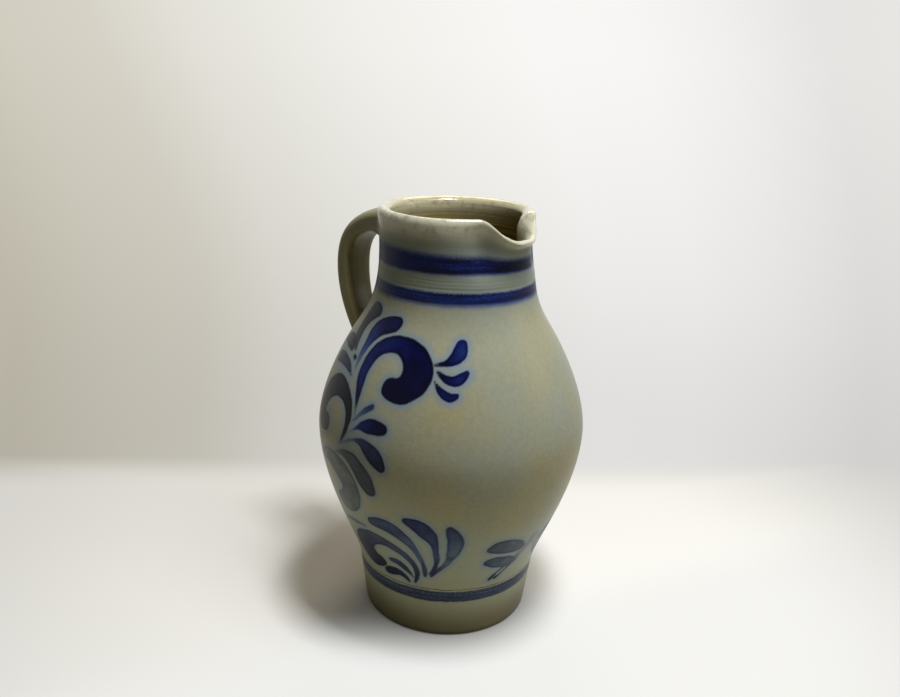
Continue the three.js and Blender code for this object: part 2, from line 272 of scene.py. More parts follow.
@dataclass(frozen=True)
class PotWall:
    """Outline of the thrown pot: foot, belly, shoulder, neck, rolled rim and pulled spout."""

    foot_radius: float = 47.6
    foot_top_radius: float = 51.6
    foot_height: float = 31.0
    foot_bevel: float = 1.6
    belly_radius: float = 75.3
    belly_level: float = 113.0
    shoulder_radius: float = 60.0
    shoulder_level: float = 160.0
    shoulder_slope: float = 0.55
    neck_radius: float = 42.3
    neck_level: float = 212.0
    rim_radius: float = 43.4
    rim_level: float = 235.0
    rim_thickness: float = 7.2
    wall: float = 5.6
    base_thickness: float = 9.0
    floor_fillet: float = 12.0
    fullness: tuple[Span, ...] = ((0.17, 0.4), (0.365, 0.19), (0.32, 0.575), (0.6, 0.3))  # see outside
    rim_crest: float = 2.3  # from the outside to the highest line of the rim
    rim_swell: float = 21.6  # depth below the rim at which the wall starts to thicken
    spout_length: float = 30.0  # from the rim down to where the pull begins
    spout_reach: float = 7.0
    spout_reach_angles: Span = (5.0, 29.0)  # where it starts to fade and where it ends
    spout_drop: float = 12.3
    spout_drop_angles: Span = (6.0, 35.0)
    spout_flare: float = 2.5  # power that keeps most of the pull near the edge
    spout_thinning: float = 0.66
    spout_edge_angles: Span = (8.0, 34.0)  # where the thin edge ends and the full rim starts
    spout_edge_depth: float = 24.0  # depth at which the wall is full again
    finger_press: float = 3.8
    finger_angle: float = 31.0
    finger_half_angle: float = 10.5
    finger_start: Span = (-3.0, 10.0)  # depths below the rim between which the press grows
    finger_end: Span = (14.0, 36.0)  # and between which it fades
    fold: float = 0.8  # extra bulge inside, where each finger held the wall
    squeeze: float = 1.6  # how far the rim gives way beside each finger
    squeeze_angle: float = 46.0
    squeeze_half_angle: float = 13.0
    squeeze_length: float = 40.0

    @property
    def rim_round(self) -> float:
        """Height of the rounding over the rim."""
        return self.rim_thickness / 2

    @cached_property
    def outside(self) -> Array:
        """Section of the outside from the table to the underside of the rim: a cone and four cubic curves.

        A curve's two fullnesses are the shares of its rise over which it holds the slopes of its two ends.

        Returns:
            Radius and height of each point.
        """
        foot_slope = (self.foot_top_radius - self.foot_radius) / self.foot_height
        stops = [
            (self.foot_top_radius, self.foot_height, foot_slope),
            (self.belly_radius, self.belly_level, 0.0),
            (self.shoulder_radius, self.shoulder_level, -self.shoulder_slope),
            (self.neck_radius, self.neck_level, 0.0),
            (self.rim_radius, self.rim_level - self.rim_round, 0.0),
        ]
        share = np.linspace(0.0, 1.0, OUTLINE_SAMPLES)[1:]
        curves = [np.array([(self.foot_radius, 0.0), (self.foot_top_radius, self.foot_height)])]
        for start, end, (low, high) in zip(stops, stops[1:], self.fullness):
            rise = end[1] - start[1]
            climb = low * rise
            fall = high * rise
            curves.append(bezier([
                start[:2],
                (start[0] + start[2] * climb, start[1] + climb),
                (end[0] - end[2] * fall, end[1] - fall),
                end[:2],
            ], share))
        return np.vstack(curves)

    @cached_property
    def inside(self) -> Array:
        """The outside moved in along its normals by the wall, and thickened smoothly up to the rim.

        Returns:
            Radius and height of each point, in rising order.
        """
        along = np.gradient(self.outside, axis=0)
        along /= np.linalg.norm(along, axis=1)[:, None]
        moved = self.outside + self.wall * np.stack([-along[:, 1], along[:, 0]], axis=1)
        swell = smoothstep(moved[:, 1], self.rim_level - self.rim_swell, self.rim_level - self.rim_round)
        moved[:, 0] -= (self.rim_thickness - self.wall) * swell
        return moved[np.argsort(moved[:, 1])]

    def radius(self, height: Array) -> Array:
        """Outside radius at each height, without the spout."""
        return np.interp(height, self.outside[:, 1], self.outside[:, 0])

    def inner_radius(self, height: Array) -> Array:
        """Inside radius at each height, without the spout."""
        return np.interp(height, self.inside[:, 1], self.inside[:, 0])

    def stretch(self, height: Array) -> Array:
        """Length along the outside for each millimetre of height, √(1 + slope²)."""
        slope = self.radius(height + 0.5) - self.radius(height - 0.5)
        return np.sqrt(1.0 + slope * slope)

    def pull_spout(self, radius: Array, height: Array, angle: Array) -> tuple[Array, Array]:
        """Bend the rim out and down between two supporting fingers.

        The pull p grows as a power of the height above its start. It moves the middle of the wall out by
        reach·p and down by drop·p, so the wall turns by atan(reach·p' / (1 - drop·p')) and carries its
        thickness round with it. Each finger presses the wall in, by a bell curve round the pot that grows and
        fades down the wall. It leaves a fold on the inside and squeezes the rim beside it.

        Args:
            radius: radius of each point before the pull.
            height: height of each point before the pull.
            angle: angle from the lip, in degrees.

        Returns:
            The new radius and height.
        """
        deep = self.rim_level - height
        rise = np.clip(1.0 - deep / self.spout_length, 0.0, 1.0)
        pull = rise ** self.spout_flare
        slope = self.spout_flare * rise ** (self.spout_flare - 1.0) / self.spout_length
        from_lip = np.abs(angle)
        reach = self.spout_reach * (1.0 - smoothstep(from_lip, *self.spout_reach_angles))
        drop = self.spout_drop * (1.0 - smoothstep(from_lip, *self.spout_drop_angles))
        middle = self.rim_radius - self.rim_round
        thin = 1.0 - smoothstep(from_lip, *self.spout_edge_angles)
        thin = thin * (1.0 - smoothstep(deep, 0.0, self.spout_edge_depth))
        half = (radius - middle) * (1.0 - self.spout_thinning * thin)
        turn = np.arctan2(reach * slope, 1.0 - drop * slope)
        finger = np.exp(-(((from_lip - self.finger_angle) / self.finger_half_angle) ** 2))
        finger = finger * smoothstep(deep, *self.finger_start) * (1.0 - smoothstep(deep, *self.finger_end))
        press = self.finger_press + self.fold * smoothstep(middle - radius, 0.0, self.rim_round)
        squeeze = self.squeeze * np.exp(-(((from_lip - self.squeeze_angle) / self.squeeze_half_angle) ** 2))
        squeeze = squeeze * (1.0 - smoothstep(deep, 0.0, self.squeeze_length))
        moved = middle + half * np.cos(turn) + reach * pull - press * finger - squeeze
        return moved, height - drop * pull - half * np.sin(turn)


# Cobalt brushwork

class Coat(Enum):
    """Which of three layers holds a stroke. Strokes that nearly touch lie in different ones."""

    FIRST = "first"
    SECOND = "second"
    THIRD = "third"


@dataclass(frozen=True)
class BrushStroke:
    """One stroke of a round brush, the same on both sides of the jug.

    Its points are an angle from the lip in degrees, a height and half of the stroke's width in millimetres,
    from the thin tail to the round head.
    """

    coat: Coat
    points: tuple[tuple[float, float, float], ...]
    tones: tuple[float, ...]  # evenly spaced along it, where 0 is a pale wash and 1 is the deepest blue
    greyness: float  # 0 fires blue and 1 fires grey


GREAT_SCROLL = (
    BrushStroke(Coat.FIRST, (
        (94.4, 134.3, 0.4), (95.2, 142.0, 1.5), (96.5, 148.0, 2.8), (97.3, 154.0, 3.3), (96.7, 160.0, 3.8),
        (93.6, 166.4, 4.3), (84.2, 171.0, 4.6), (79.1, 171.0, 5.2), (70.0, 167.0, 7.2), (66.8, 160.4, 8.2),
        (69.6, 153.9, 7.7), (74.8, 150.4, 6.6), (78.6, 151.2, 5.6)),
        (0.82, 0.72, 0.8, 1.0, 1.05), 0.03),
    BrushStroke(Coat.SECOND, (
        (104.2, 154.0, 0.4), (104.5, 158.5, 1.3), (104.5, 163.0, 2.1), (103.6, 168.3, 3.0),
        (102.1, 173.2, 4.7), (96.3, 177.3, 5.0), (90.2, 179.3, 4.5), (87.4, 180.4, 3.4)),
        (0.16, 0.44, 0.76, 0.92), 0.2),
    BrushStroke(Coat.FIRST, (
        (111.5, 161.8, 0.8), (114.0, 164.2, 2.0), (117.2, 168.0, 3.6), (118.6, 173.0, 4.4),
        (116.8, 178.2, 5.0), (112.8, 181.8, 5.1), (108.8, 182.6, 3.8)),
        (0.5, 0.62, 0.74), 0.85),
    BrushStroke(Coat.SECOND, (
        (114.4, 160.9, 0.8), (116.5, 162.0, 2.4), (119.5, 163.2, 3.6), (126.0, 163.8, 3.8),
        (134.0, 162.0, 1.8)),
        (0.6, 0.6, 0.5), 0.8),
    BrushStroke(Coat.THIRD, ((107.2, 158.4, 0.9), (108.9, 158.9, 1.4), (110.4, 159.4, 0.9)),
        (0.8, 0.8), 0.6),
)
LEFT_SCROLL = (
    BrushStroke(Coat.THIRD, (
        (104.6, 150.3, 0.4), (107.0, 151.8, 1.1), (109.5, 153.2, 1.9), (114.4, 154.6, 2.8),
        (120.0, 154.8, 3.5), (128.0, 153.5, 3.6)),
        (0.62, 0.58, 0.5), 0.7),
    BrushStroke(Coat.SECOND, (
        (100.6, 116.5, 0.5), (98.2, 123.0, 1.4), (97.4, 130.0, 2.2), (99.0, 136.5, 3.0), (102.9, 140.8, 3.9),
        (110.2, 143.3, 5.6), (115.2, 142.1, 6.6), (123.0, 130.8, 6.7), (120.0, 121.5, 6.0),
        (114.7, 121.8, 5.0)),
        (0.96, 0.92, 0.74, 0.6), 0.85),
    BrushStroke(Coat.THIRD, ((94.2, 131.4, 0.4), (91.0, 135.5, 0.9), (88.0, 138.8, 1.7), (85.8, 140.7, 1.6)),
        (0.16, 0.55), 0.45),
    BrushStroke(Coat.FIRST, (
        (95.9, 124.0, 0.4), (93.0, 127.0, 0.6), (90.0, 129.3, 1.7), (86.5, 130.8, 3.6), (81.5, 131.6, 4.0),
        (78.4, 131.5, 3.0)),
        (0.14, 0.62, 1.02), 0.15),
    BrushStroke(Coat.THIRD, (
        (100.5, 116.5, 0.4), (95.0, 120.5, 0.7), (90.5, 122.3, 1.2), (86.5, 121.5, 3.0), (82.5, 118.5, 4.5),
        (79.3, 114.8, 4.3), (77.6, 112.2, 2.9)),
        (0.14, 0.46, 0.82), 0.6),
    BrushStroke(Coat.FIRST, (
        (106.0, 108.5, 0.5), (99.0, 112.0, 1.8), (92.6, 111.0, 4.2), (88.2, 106.0, 5.3), (85.4, 100.5, 5.5),
        (84.0, 97.0, 4.4)),
        (0.16, 0.44, 0.62), 0.85),
    BrushStroke(Coat.SECOND, (
        (120.0, 101.0, 2.0), (112.0, 104.0, 4.5), (104.0, 102.5, 7.0), (97.5, 96.5, 8.0), (95.8, 89.5, 7.5),
        (99.0, 82.5, 7.5), (104.5, 79.8, 6.0)),
        (0.3, 0.36, 0.44), 0.95),
)
SIDE_SPRIG = (
    BrushStroke(Coat.SECOND, (
        (59.4, 164.7, 0.7), (54.6, 165.4, 1.6), (50.1, 167.3, 3.0), (46.6, 170.8, 3.8), (45.2, 174.2, 2.8)),
        (0.92, 0.84, 0.68), 0.03),
    BrushStroke(Coat.THIRD, (
        (57.7, 162.3, 0.5), (54.1, 159.4, 1.9), (49.7, 157.9, 2.7), (45.6, 159.4, 2.7), (43.2, 161.6, 1.6)),
        (0.92, 0.82, 0.7), 0.03),
    BrushStroke(Coat.SECOND, (
        (58.2, 157.4, 0.5), (56.3, 154.6, 1.4), (53.5, 151.8, 2.3), (50.4, 150.6, 2.5), (47.8, 151.4, 1.5)),
        (0.92, 0.8, 0.68), 0.03),
)
FOOT_FAN = (
    BrushStroke(Coat.FIRST, (
        (58.0, 42.5, 0.8), (54.5, 47.5, 1.3), (49.5, 54.0, 1.6), (46.8, 62.0, 3.3), (45.8, 70.5, 4.5),
        (47.0, 76.0, 3.7), (48.6, 80.0, 2.2)),
        (0.74, 0.32, 0.44, 0.62), 0.5),
    BrushStroke(Coat.SECOND, (
        (58.6, 43.8, 0.8), (56.3, 48.0, 1.2), (54.8, 54.0, 1.6), (54.8, 62.0, 1.7), (56.0, 70.0, 3.0),
        (59.0, 76.0, 5.0), (64.0, 81.0, 4.3), (68.0, 82.4, 2.2)),
        (0.74, 0.46, 0.6, 0.78), 0.4),
    BrushStroke(Coat.THIRD, (
        (61.4, 42.0, 0.8), (61.3, 45.0, 1.2), (62.0, 52.0, 1.3), (64.5, 60.0, 1.8), (68.0, 67.0, 3.0),
        (72.5, 72.0, 4.3), (77.5, 75.0, 4.9), (83.0, 75.5, 4.2), (86.6, 74.8, 2.8)),
        (0.64, 0.32, 0.54, 0.6), 0.5),
    BrushStroke(Coat.FIRST, (
        (68.2, 35.5, 0.9), (66.5, 40.0, 1.4), (66.1, 45.5, 1.7), (68.5, 52.5, 2.0), (73.5, 58.0, 2.6),
        (80.0, 61.4, 3.2), (87.0, 62.0, 4.5), (94.0, 59.5, 6.0), (99.0, 54.0, 7.5), (100.0, 48.0, 8.5),
        (96.0, 44.0, 7.0), (90.5, 44.4, 4.6)),
        (0.74, 0.5, 0.52, 0.62, 0.88), 0.62),
    BrushStroke(Coat.SECOND, (
        (68.8, 39.5, 0.6), (70.8, 42.8, 1.4), (74.0, 46.5, 2.3), (78.0, 48.8, 2.3), (81.2, 48.8, 1.5)),
        (0.66, 0.58, 0.58), 0.55),
    BrushStroke(Coat.THIRD, (
        (71.5, 34.8, 0.8), (72.5, 36.2, 1.2), (75.0, 38.8, 1.7), (78.5, 40.3, 2.6), (82.5, 39.7, 3.3),
        (86.2, 38.4, 2.5)),
        (0.76, 0.8, 0.9), 0.6),
    BrushStroke(Coat.SECOND, ((110.0, 65.8, 0.9), (101.0, 67.6, 0.9), (92.0, 68.6, 0.6)),
        (0.42, 0.42), 0.6),
)
LIP_SPRIG = (
    BrushStroke(Coat.FIRST, (
        (6.5, 57.5, 1.4), (10.9, 59.4, 4.2), (16.0, 61.2, 5.3), (20.5, 62.6, 5.5), (24.6, 63.2, 4.6),
        (27.8, 62.8, 2.6)),
        (0.34, 0.46, 0.52), 0.75),
    BrushStroke(Coat.SECOND, (
        (8.5, 47.8, 1.6), (12.2, 48.4, 3.8), (17.1, 49.8, 4.7), (21.6, 51.0, 4.5), (25.7, 51.9, 3.7),
        (28.2, 52.0, 2.0)),
        (0.36, 0.46, 0.52), 0.6),
    BrushStroke(Coat.THIRD, (
        (0.6, 62.6, 2.0), (2.4, 58.8, 2.4), (4.5, 56.0, 2.4), (6.8, 53.3, 2.1), (9.0, 49.7, 2.0),
        (10.5, 46.7, 1.7), (12.8, 43.7, 1.1), (14.9, 41.7, 0.8), (17.0, 39.3, 0.8), (19.5, 37.7, 0.9)),
        (0.12, 0.18, 0.4, 0.85), 0.7),
    BrushStroke(Coat.FIRST, (
        (12.0, 47.0, 0.8), (14.4, 45.8, 1.0), (17.3, 43.7, 0.9), (19.1, 41.8, 0.9), (21.4, 39.3, 1.0),
        (23.1, 37.4, 0.9)),
        (0.45, 0.6, 0.95), 0.8),
)


@dataclass(frozen=True)
class Brushwork:
    """All strokes on the pot, and where they lie on its wall."""

    wall: PotWall
    strokes: tuple[BrushStroke, ...] = GREAT_SCROLL + LEFT_SCROLL + SIDE_SPRIG + FOOT_FAN + LIP_SPRIG
    samples: int = 110  # points on each stroke's middle line
    rounding: int = 3  # samples over which its corners are rounded
    degree: float = 1.15  # about one degree round the shoulder, as a length
    thinnest: float = 0.25  # least half width
    merge: float = 1.2  # distance over which the tones of two arms of one stroke run together
    reach: float = 8.0  # how far past its edge a stroke is still measured

    def lay(self, angle: Array, height: Array) -> dict[Coat, tuple[Array, Array]]:
        """Measure every point of the pot against the strokes of each coat.

        Args:
            angle: angle of each point from the lip, in degrees, on either side.
            height: height of each point.

        Returns:
            For each coat, two vectors for each point. The first holds the distance past the stroke's edge,
            the distance from its middle line and the length along it. The second holds tone, greyness and
            zero.
        """
        place = np.stack([np.abs(angle).ravel(), height.ravel()], axis=1)
        found = {}
        for coat in Coat:
            line = np.tile([self.reach, 0.0, 0.0], (len(place), 1))
            wash = np.zeros((len(place), 3))
            for stroke in (s for s in self.strokes if s.coat is coat):
                self.lay_stroke(stroke, place, line, wash)
            found[coat] = (line.reshape(*angle.shape, 3), wash.reshape(*angle.shape, 3))
        return found

    def lay_stroke(self, stroke: BrushStroke, place: Array, line: Array, wash: Array) -> None:
        """Write one stroke into its coat wherever its edge is nearer than those before it.

        Args:
            stroke: the stroke.
            place: angle and height of every point.
            line: the coat's first vectors, updated.
            wash: the coat's second vectors, updated.
        """
        knots = np.array(stroke.points)
        curve = through_points(knots, np.array([self.degree, 1.0, 0.0]), self.samples)
        angle, height, half = soften(curve, self.rounding).T
        half = np.maximum(half, self.thinnest)
        radius = self.wall.radius(height)
        stretch = self.wall.stretch(height)
        across_step = np.diff(np.radians(angle)) * radius[1:]
        length = np.concatenate([[0.0], np.cumsum(np.hypot(across_step, np.diff(height) * stretch[1:]))])
        tone = np.interp(length / length[-1], np.linspace(0.0, 1.0, len(stroke.tones)), stroke.tones)
        margin = half.max() + self.reach
        turn = np.degrees(margin / radius.min())
        near = np.flatnonzero(
            (place[:, 0] > angle.min() - turn) & (place[:, 0] < angle.max() + turn)
            & (place[:, 1] > height.min() - margin) & (place[:, 1] < height.max() + margin))
        across = np.radians(place[near, :1] - angle) * radius
        up = (place[near, 1:] - height) * stretch
        distance = np.hypot(across, up)
        edge = distance - half
        best = edge.argmin(axis=1)
        rows = np.arange(len(near))
        share = np.exp((edge[rows, best][:, None] - edge) / self.merge)
        blended = share @ tone / share.sum(axis=1)
        closer = edge[rows, best] < line[near, 0]
        near, best, rows = near[closer], best[closer], rows[closer]
        line[near] = np.stack([edge[rows, best], distance[rows, best], length[best]], axis=1)
        wash[near, 0] = blended[closer]
        wash[near, 1] = stroke.greyness


# Finishes

# Inputs in order: Map Range takes a value, the span that comes in and the span that goes out. MULTIPLY_ADD
# takes two factors and what is added. Mix has its share at 0, its numbers at 2 and 3, its colours at 6 and 7.
COLOUR_MIX = {"out": 2, "data_type": "RGBA"}
SHADE_MIX = COLOUR_MIX | {"blend_type": "MULTIPLY"}
SMOOTH = {"interpolation_type": "SMOOTHSTEP"}


def new_material(title: str) -> bpy.types.Material:
    """Make an empty node material.

    Args:
        title: its name.

    Returns:
        The material.
    """
    made = bpy.data.materials.new(title)
    made.use_nodes = True
    made.node_tree.nodes.clear()
    return made


@dataclass(frozen=True)
class SaltGlaze:
    """Grey stoneware under salt glaze, made by throwing salt into the kiln.

    The vapour leaves a thin glassy skin that follows every mark of the clay, so the eye sees a satin grey
    with warm and cool clouds, a fine orange-peel texture and a few dark specks of iron. A span holds the two
    values of a noise between which its effect grows, and shades are what multiplies the colour at those two.
    """

    title: str
    glass: float  # how much clear glass gathers on it, from 0 to 1
    cool: str = "#8e9284"
    warm: str = "#989270"
    iron: str = "#2e2618"
    noise_span: Span = (0.25, 0.75)  # holds nearly every value of a noise
    cloud_size: float = 42.0
    cloud_span: Span = (0.32, 0.68)
    mottle_size: float = 2.4
    mottle_span: Span = (0.3, 0.7)
    mottle_shades: Span = (0.94, 1.05)
    peel_size: float = 1.1  # the real peel is finer, and is drawn as coarse as it needs to show
    peel_depth: float = 0.09
    streak_height: float = 1.1  # spacing of the lines left by the turning hand
    streak_length: float = 70.0
    streak_depth: float = 0.03
    streak_span: Span = (0.3, 0.7)
    streak_shades: Span = (0.86, 1.1)
    speck_spacing: float = 9.0
    speck_radius: float = 0.36
    speck_core: float = 0.4  # share of the radius that is dark all through
    specks_kept: float = 0.8
    roughness: float = 0.33
    roughness_drift: float = 0.06  # how far a streak makes it smoother or rougher
    ior: float = 1.5
    gloss: float = 0.08  # a thin, half-matt skin that mirrors less than poured glaze
    coat_roughness: float = 0.1  # of the clear glass that gathers where the salt ran thick

    def ground(self, tree: Tree) -> tuple[Socket, Socket, Socket]:
        """Lay the bare glaze.

        Args:
            tree: the material's nodes.

        Returns:
            The place in millimetres, the colour and the height of the surface in millimetres.
        """
        metres = add_node(tree, "TexCoord", out="Object")
        place = add_node(tree, "VectorMath", {0: metres, "Scale": 1 / MM}, operation="SCALE")
        cloud, mottle, peel = (
            add_node(tree, "TexNoise", {"Vector": place, "Scale": 1 / size, "Detail": detail})
            for size, detail in ((self.cloud_size, 2.0), (self.mottle_size, 3.0), (self.peel_size, 1.5)))
        cloud = add_node(tree, "MapRange", (cloud, *self.cloud_span))
        colour = add_node(tree, "Mix", {0: cloud, 6: linear(self.cool), 7: linear(self.warm)}, **COLOUR_MIX)
        shade = add_node(tree, "MapRange", (mottle, *self.mottle_span, *self.mottle_shades))
        colour = add_node(tree, "Mix", {0: 1.0, 6: colour, 7: shade}, **SHADE_MIX)
        cell = add_node(tree, "TexVoronoi", {"Vector": place, "Scale": 1 / self.speck_spacing})
        chance = add_node(tree, "SeparateColor", (cell.node.outputs["Color"],))
        kept = add_node(tree, "Math", (chance, self.specks_kept), operation="LESS_THAN")
        radius = self.speck_radius / self.speck_spacing
        speck = add_node(tree, "MapRange", (cell, radius, radius * self.speck_core), **SMOOTH)
        speck = add_node(tree, "Math", (speck, kept), operation="MULTIPLY")
        colour = add_node(tree, "Mix", {0: speck, 6: colour, 7: linear(self.iron)}, **COLOUR_MIX)
        peel = add_node(tree, "Math", (peel, self.peel_depth), operation="MULTIPLY")
        return place, colour, peel

    def close(self, material: bpy.types.Material, colour: Socket, roughness: Socket, height: Socket,
              glass: Socket | float) -> None:
        """Join colour, roughness and height to the glassy surface.

        Args:
            material: the material whose nodes hold the sockets.
            colour: colour of the glaze.
            roughness: roughness of the glaze.
            height: height of the surface in millimetres.
            glass: how much clear glass covers it, from 0 to 1.
        """
        tree = material.node_tree
        bump = add_node(tree, "Bump", {"Height": height, "Strength": 1.0, "Distance": MM})
        surface = add_node(tree, "BsdfPrincipled", {
            "Base Color": colour, "Roughness": roughness, "IOR": self.ior, "Specular IOR Level": self.gloss,
            "Normal": bump, "Coat Weight": glass, "Coat Roughness": self.coat_roughness, "Coat Normal": bump})
        add_node(tree, "OutputMaterial", {"Surface": surface})

    def material(self) -> bpy.types.Material:
        """Make the undecorated glaze, with the long marks that pulling leaves along a strap.

        Returns:
            The material.
        """
        made = new_material(self.title)
        tree = made.node_tree
        _, colour, height = self.ground(tree)
        pull = add_node(tree, "Attribute", out="Vector", attribute_name="pull")
        spacing = (1 / self.streak_height, 1 / self.streak_length, 1.0)
        pull = add_node(tree, "VectorMath", (pull, spacing), operation="MULTIPLY")
        streak = add_node(tree, "TexNoise", {"Vector": pull, "Scale": 1.0, "Detail": 2.0})
        shade = add_node(tree, "MapRange", (streak, *self.streak_span, *self.streak_shades))
        colour = add_node(tree, "Mix", {0: 1.0, 6: colour, 7: shade}, **SHADE_MIX)
        height = add_node(tree, "Math", (streak, self.streak_depth, height), operation="MULTIPLY_ADD")
        drift = self.roughness_drift
        rough = add_node(tree, "MapRange", (streak, 0.0, 1.0, self.roughness - drift, self.roughness + drift))
        self.close(made, colour, rough, height, self.glass)
        return made


@dataclass(frozen=True)
class Zone:
    """A band of heights on the wall with a colour of its own; some zones also hold painted light or shade."""

    colour: str
    levels: Span  # heights at which it starts and is full
    cover: float


@dataclass(frozen=True)
class PaintedBand:
    """A ring of cobalt laid on while the pot turns, with a soft lower and upper edge."""

    low: float
    high: float
    low_fade: float
    high_fade: float
    tone: float
    greyness: float
    patches: float  # how much darker it gets where the brush was reloaded
    edge_pool: float  # how much darker its edges are
    climb: Span = (0.0, 0.0)  # how its upper edge rises along X and Y


BANDS = (
    PaintedBand(206.8, 217.2, 3.2, 6.0, 0.8, 0.06, 0.3, 0.0, (-0.034, -0.029)),
    PaintedBand(191.2, 198.4, 4.6, 2.4, 0.76, 0.1, 0.16, 0.0),
    PaintedBand(23.9, 31.2, 0.9, 1.2, 0.54, 0.6, 0.1, 0.1),
)


@dataclass(frozen=True)
class CobaltGlaze(SaltGlaze):
    """Salt glaze over cobalt painting.

    The blue sinks into the glaze: it pools darker along the edge of each stroke, shows the hairs of the
    brush along its length, breaks into pale flecks where it is thin and bleeds a faint blue into the grey
    around it.
    """

    title: str = "salt_glaze_over_cobalt"
    glass: float = 0.9  # on the rim
    # neck: greener and darker, partly its own glaze and partly painted shade
    neck: Zone = Zone("#7a847c", (184.0, 200.0), 0.8)
    # lower belly: paler and bluer towards the bottom, partly its own glaze and partly painted light from the
    # floor
    low_belly: Zone = Zone("#8a9387", (95.0, 60.0), 0.6)
    # foot below the band: darker towards the table, partly its own glaze and partly painted shade
    foot: Zone = Zone("#6f6b54", (25.0, 7.0), 0.9)
    # painted contact shadow: a dark brown line along the base, where the foot meets the table
    base: Zone = Zone("#41341f", (4.0, 0.5), 0.7)
    # rim: paler, partly thin glaze over the edge and partly painted light on its up-facing top
    rim: Zone = Zone("#bfbca4", (221.0, 231.0), 0.9)
    rim_run: float = 0.42  # how much of the inside's colour reaches the rim
    rim_polish: float = 0.1  # how much less rough the rim is
    # inside: browner and darker, partly its own glaze with its lines and partly painted shade in the hollow
    inner: str = "#8d7d47"
    inner_span: Span = (0.35, 0.65)
    inner_shades: Span = (0.55, 1.2)
    scuff: str = "#6b5c40"
    scuff_size: float = 4.6
    scuff_span: Span = (0.5, 0.74)
    scuff_cover: float = 0.6
    hairline: str = "#14161a"
    hairline_level: float = 32.4
    hairline_width: float = 0.3
    hairline_core: float = 0.3  # share of the width that is dark all through
    hairline_wander: float = 2.2
    hairline_gaps: Span = (0.38, 0.5)
    blues: Stops = (
        (0.0, "#7a8a96"), (0.15, "#617891"), (0.35, "#335080"), (0.52, "#18306d"), (0.68, "#0d1d56"),
        (0.84, "#070b3c"), (1.0, "#030320"))
    greys: Stops = (
        (0.0, "#7f857e"), (0.15, "#727873"), (0.35, "#515755"), (0.52, "#3a3f3f"), (0.68, "#26292b"),
        (0.84, "#151719"), (1.0, "#090a0c"))
    bleed: str = "#728697"
    bleed_cover: float = 0.7
    bleed_width: float = 4.6
    wobble_size: float = 7.0
    wobble: float = 0.35
    grain_size: float = 0.7
    band_wander: float = 0.4  # share of the wobble that the edge of a band keeps
    band_grain: float = 1.2  # how far grains of salt break up the edge of a band
    band_tones: Span = (-0.16, 0.12)  # what a pale and a dark streak add to a band's tone
    stroke_grain: float = 0.35
    edge_softness: float = 0.6
    pool_width: float = 2.6
    pool: float = 0.22
    hair_spacing: float = 1.2
    hair_length: float = 22.0
    hair_tone: float = 0.035  # how much a hair of the brush adds to a stroke's tone or takes from it
    patch_length: float = 30.0
    patch_height: float = 3.5
    patch_span: Span = (0.44, 0.66)
    fleck: float = 0.24  # how much paler a grain of salt leaves the blue of a band
    fleck_span: Span = (0.45, 0.75)
    stroke_fleck: float = 0.5  # share of that on a stroke
    drift: float = 0.22  # how much the tone of a stroke drifts for each millimetre that its edge wanders

    def zones(self, tree: Tree, place: Socket, colour: Socket, rest: Socket,
              streak: Socket) -> tuple[Socket, Socket]:
        """Colour neck, lower belly, foot, base, inside and rim, partly in their own colours and partly as
        painted light and shade.

        Args:
            tree: the material's nodes.
            place: place in millimetres.
            colour: colour of the bare glaze.
            rest: height on the wall before the spout was pulled.
            streak: long streaks round the pot, from 0 to 1.

        Returns:
            The colour and how much of the rim shows.
        """
        zones = (self.neck, self.low_belly, self.foot, self.base, self.rim)
        shares = [
            add_node(tree, "MapRange", (rest, *zone.levels, 0.0, zone.cover), **SMOOTH) for zone in zones]
        rim = shares[-1]
        shade = add_node(tree, "MapRange", (streak, *self.inner_span, *self.inner_shades))
        inner = add_node(tree, "Mix", {0: 1.0, 6: linear(self.inner), 7: shade}, **SHADE_MIX)
        inside = add_node(tree, "Attribute", out="Fac", attribute_name="inside")
        under = add_node(tree, "MapRange", (rim, 0.0, 1.0, 1.0, self.rim_run))
        inside = add_node(tree, "Math", (inside, under), operation="MULTIPLY")
        scuff = add_node(tree, "TexNoise", {"Vector": place, "Scale": 1 / self.scuff_size, "Detail": 3.0})
        scuff = add_node(tree, "MapRange", (scuff, *self.scuff_span, 0.0, self.scuff_cover))
        scuff = add_node(tree, "Math", (scuff, rim), operation="MULTIPLY")
        layers = [(share, linear(zone.colour)) for share, zone in zip(shares, zones)]
        for share, layer in layers + [(inside, inner), (scuff, linear(self.scuff))]:
            colour = add_node(tree, "Mix", {0: share, 6: colour, 7: layer}, **COLOUR_MIX)
        return colour, rim

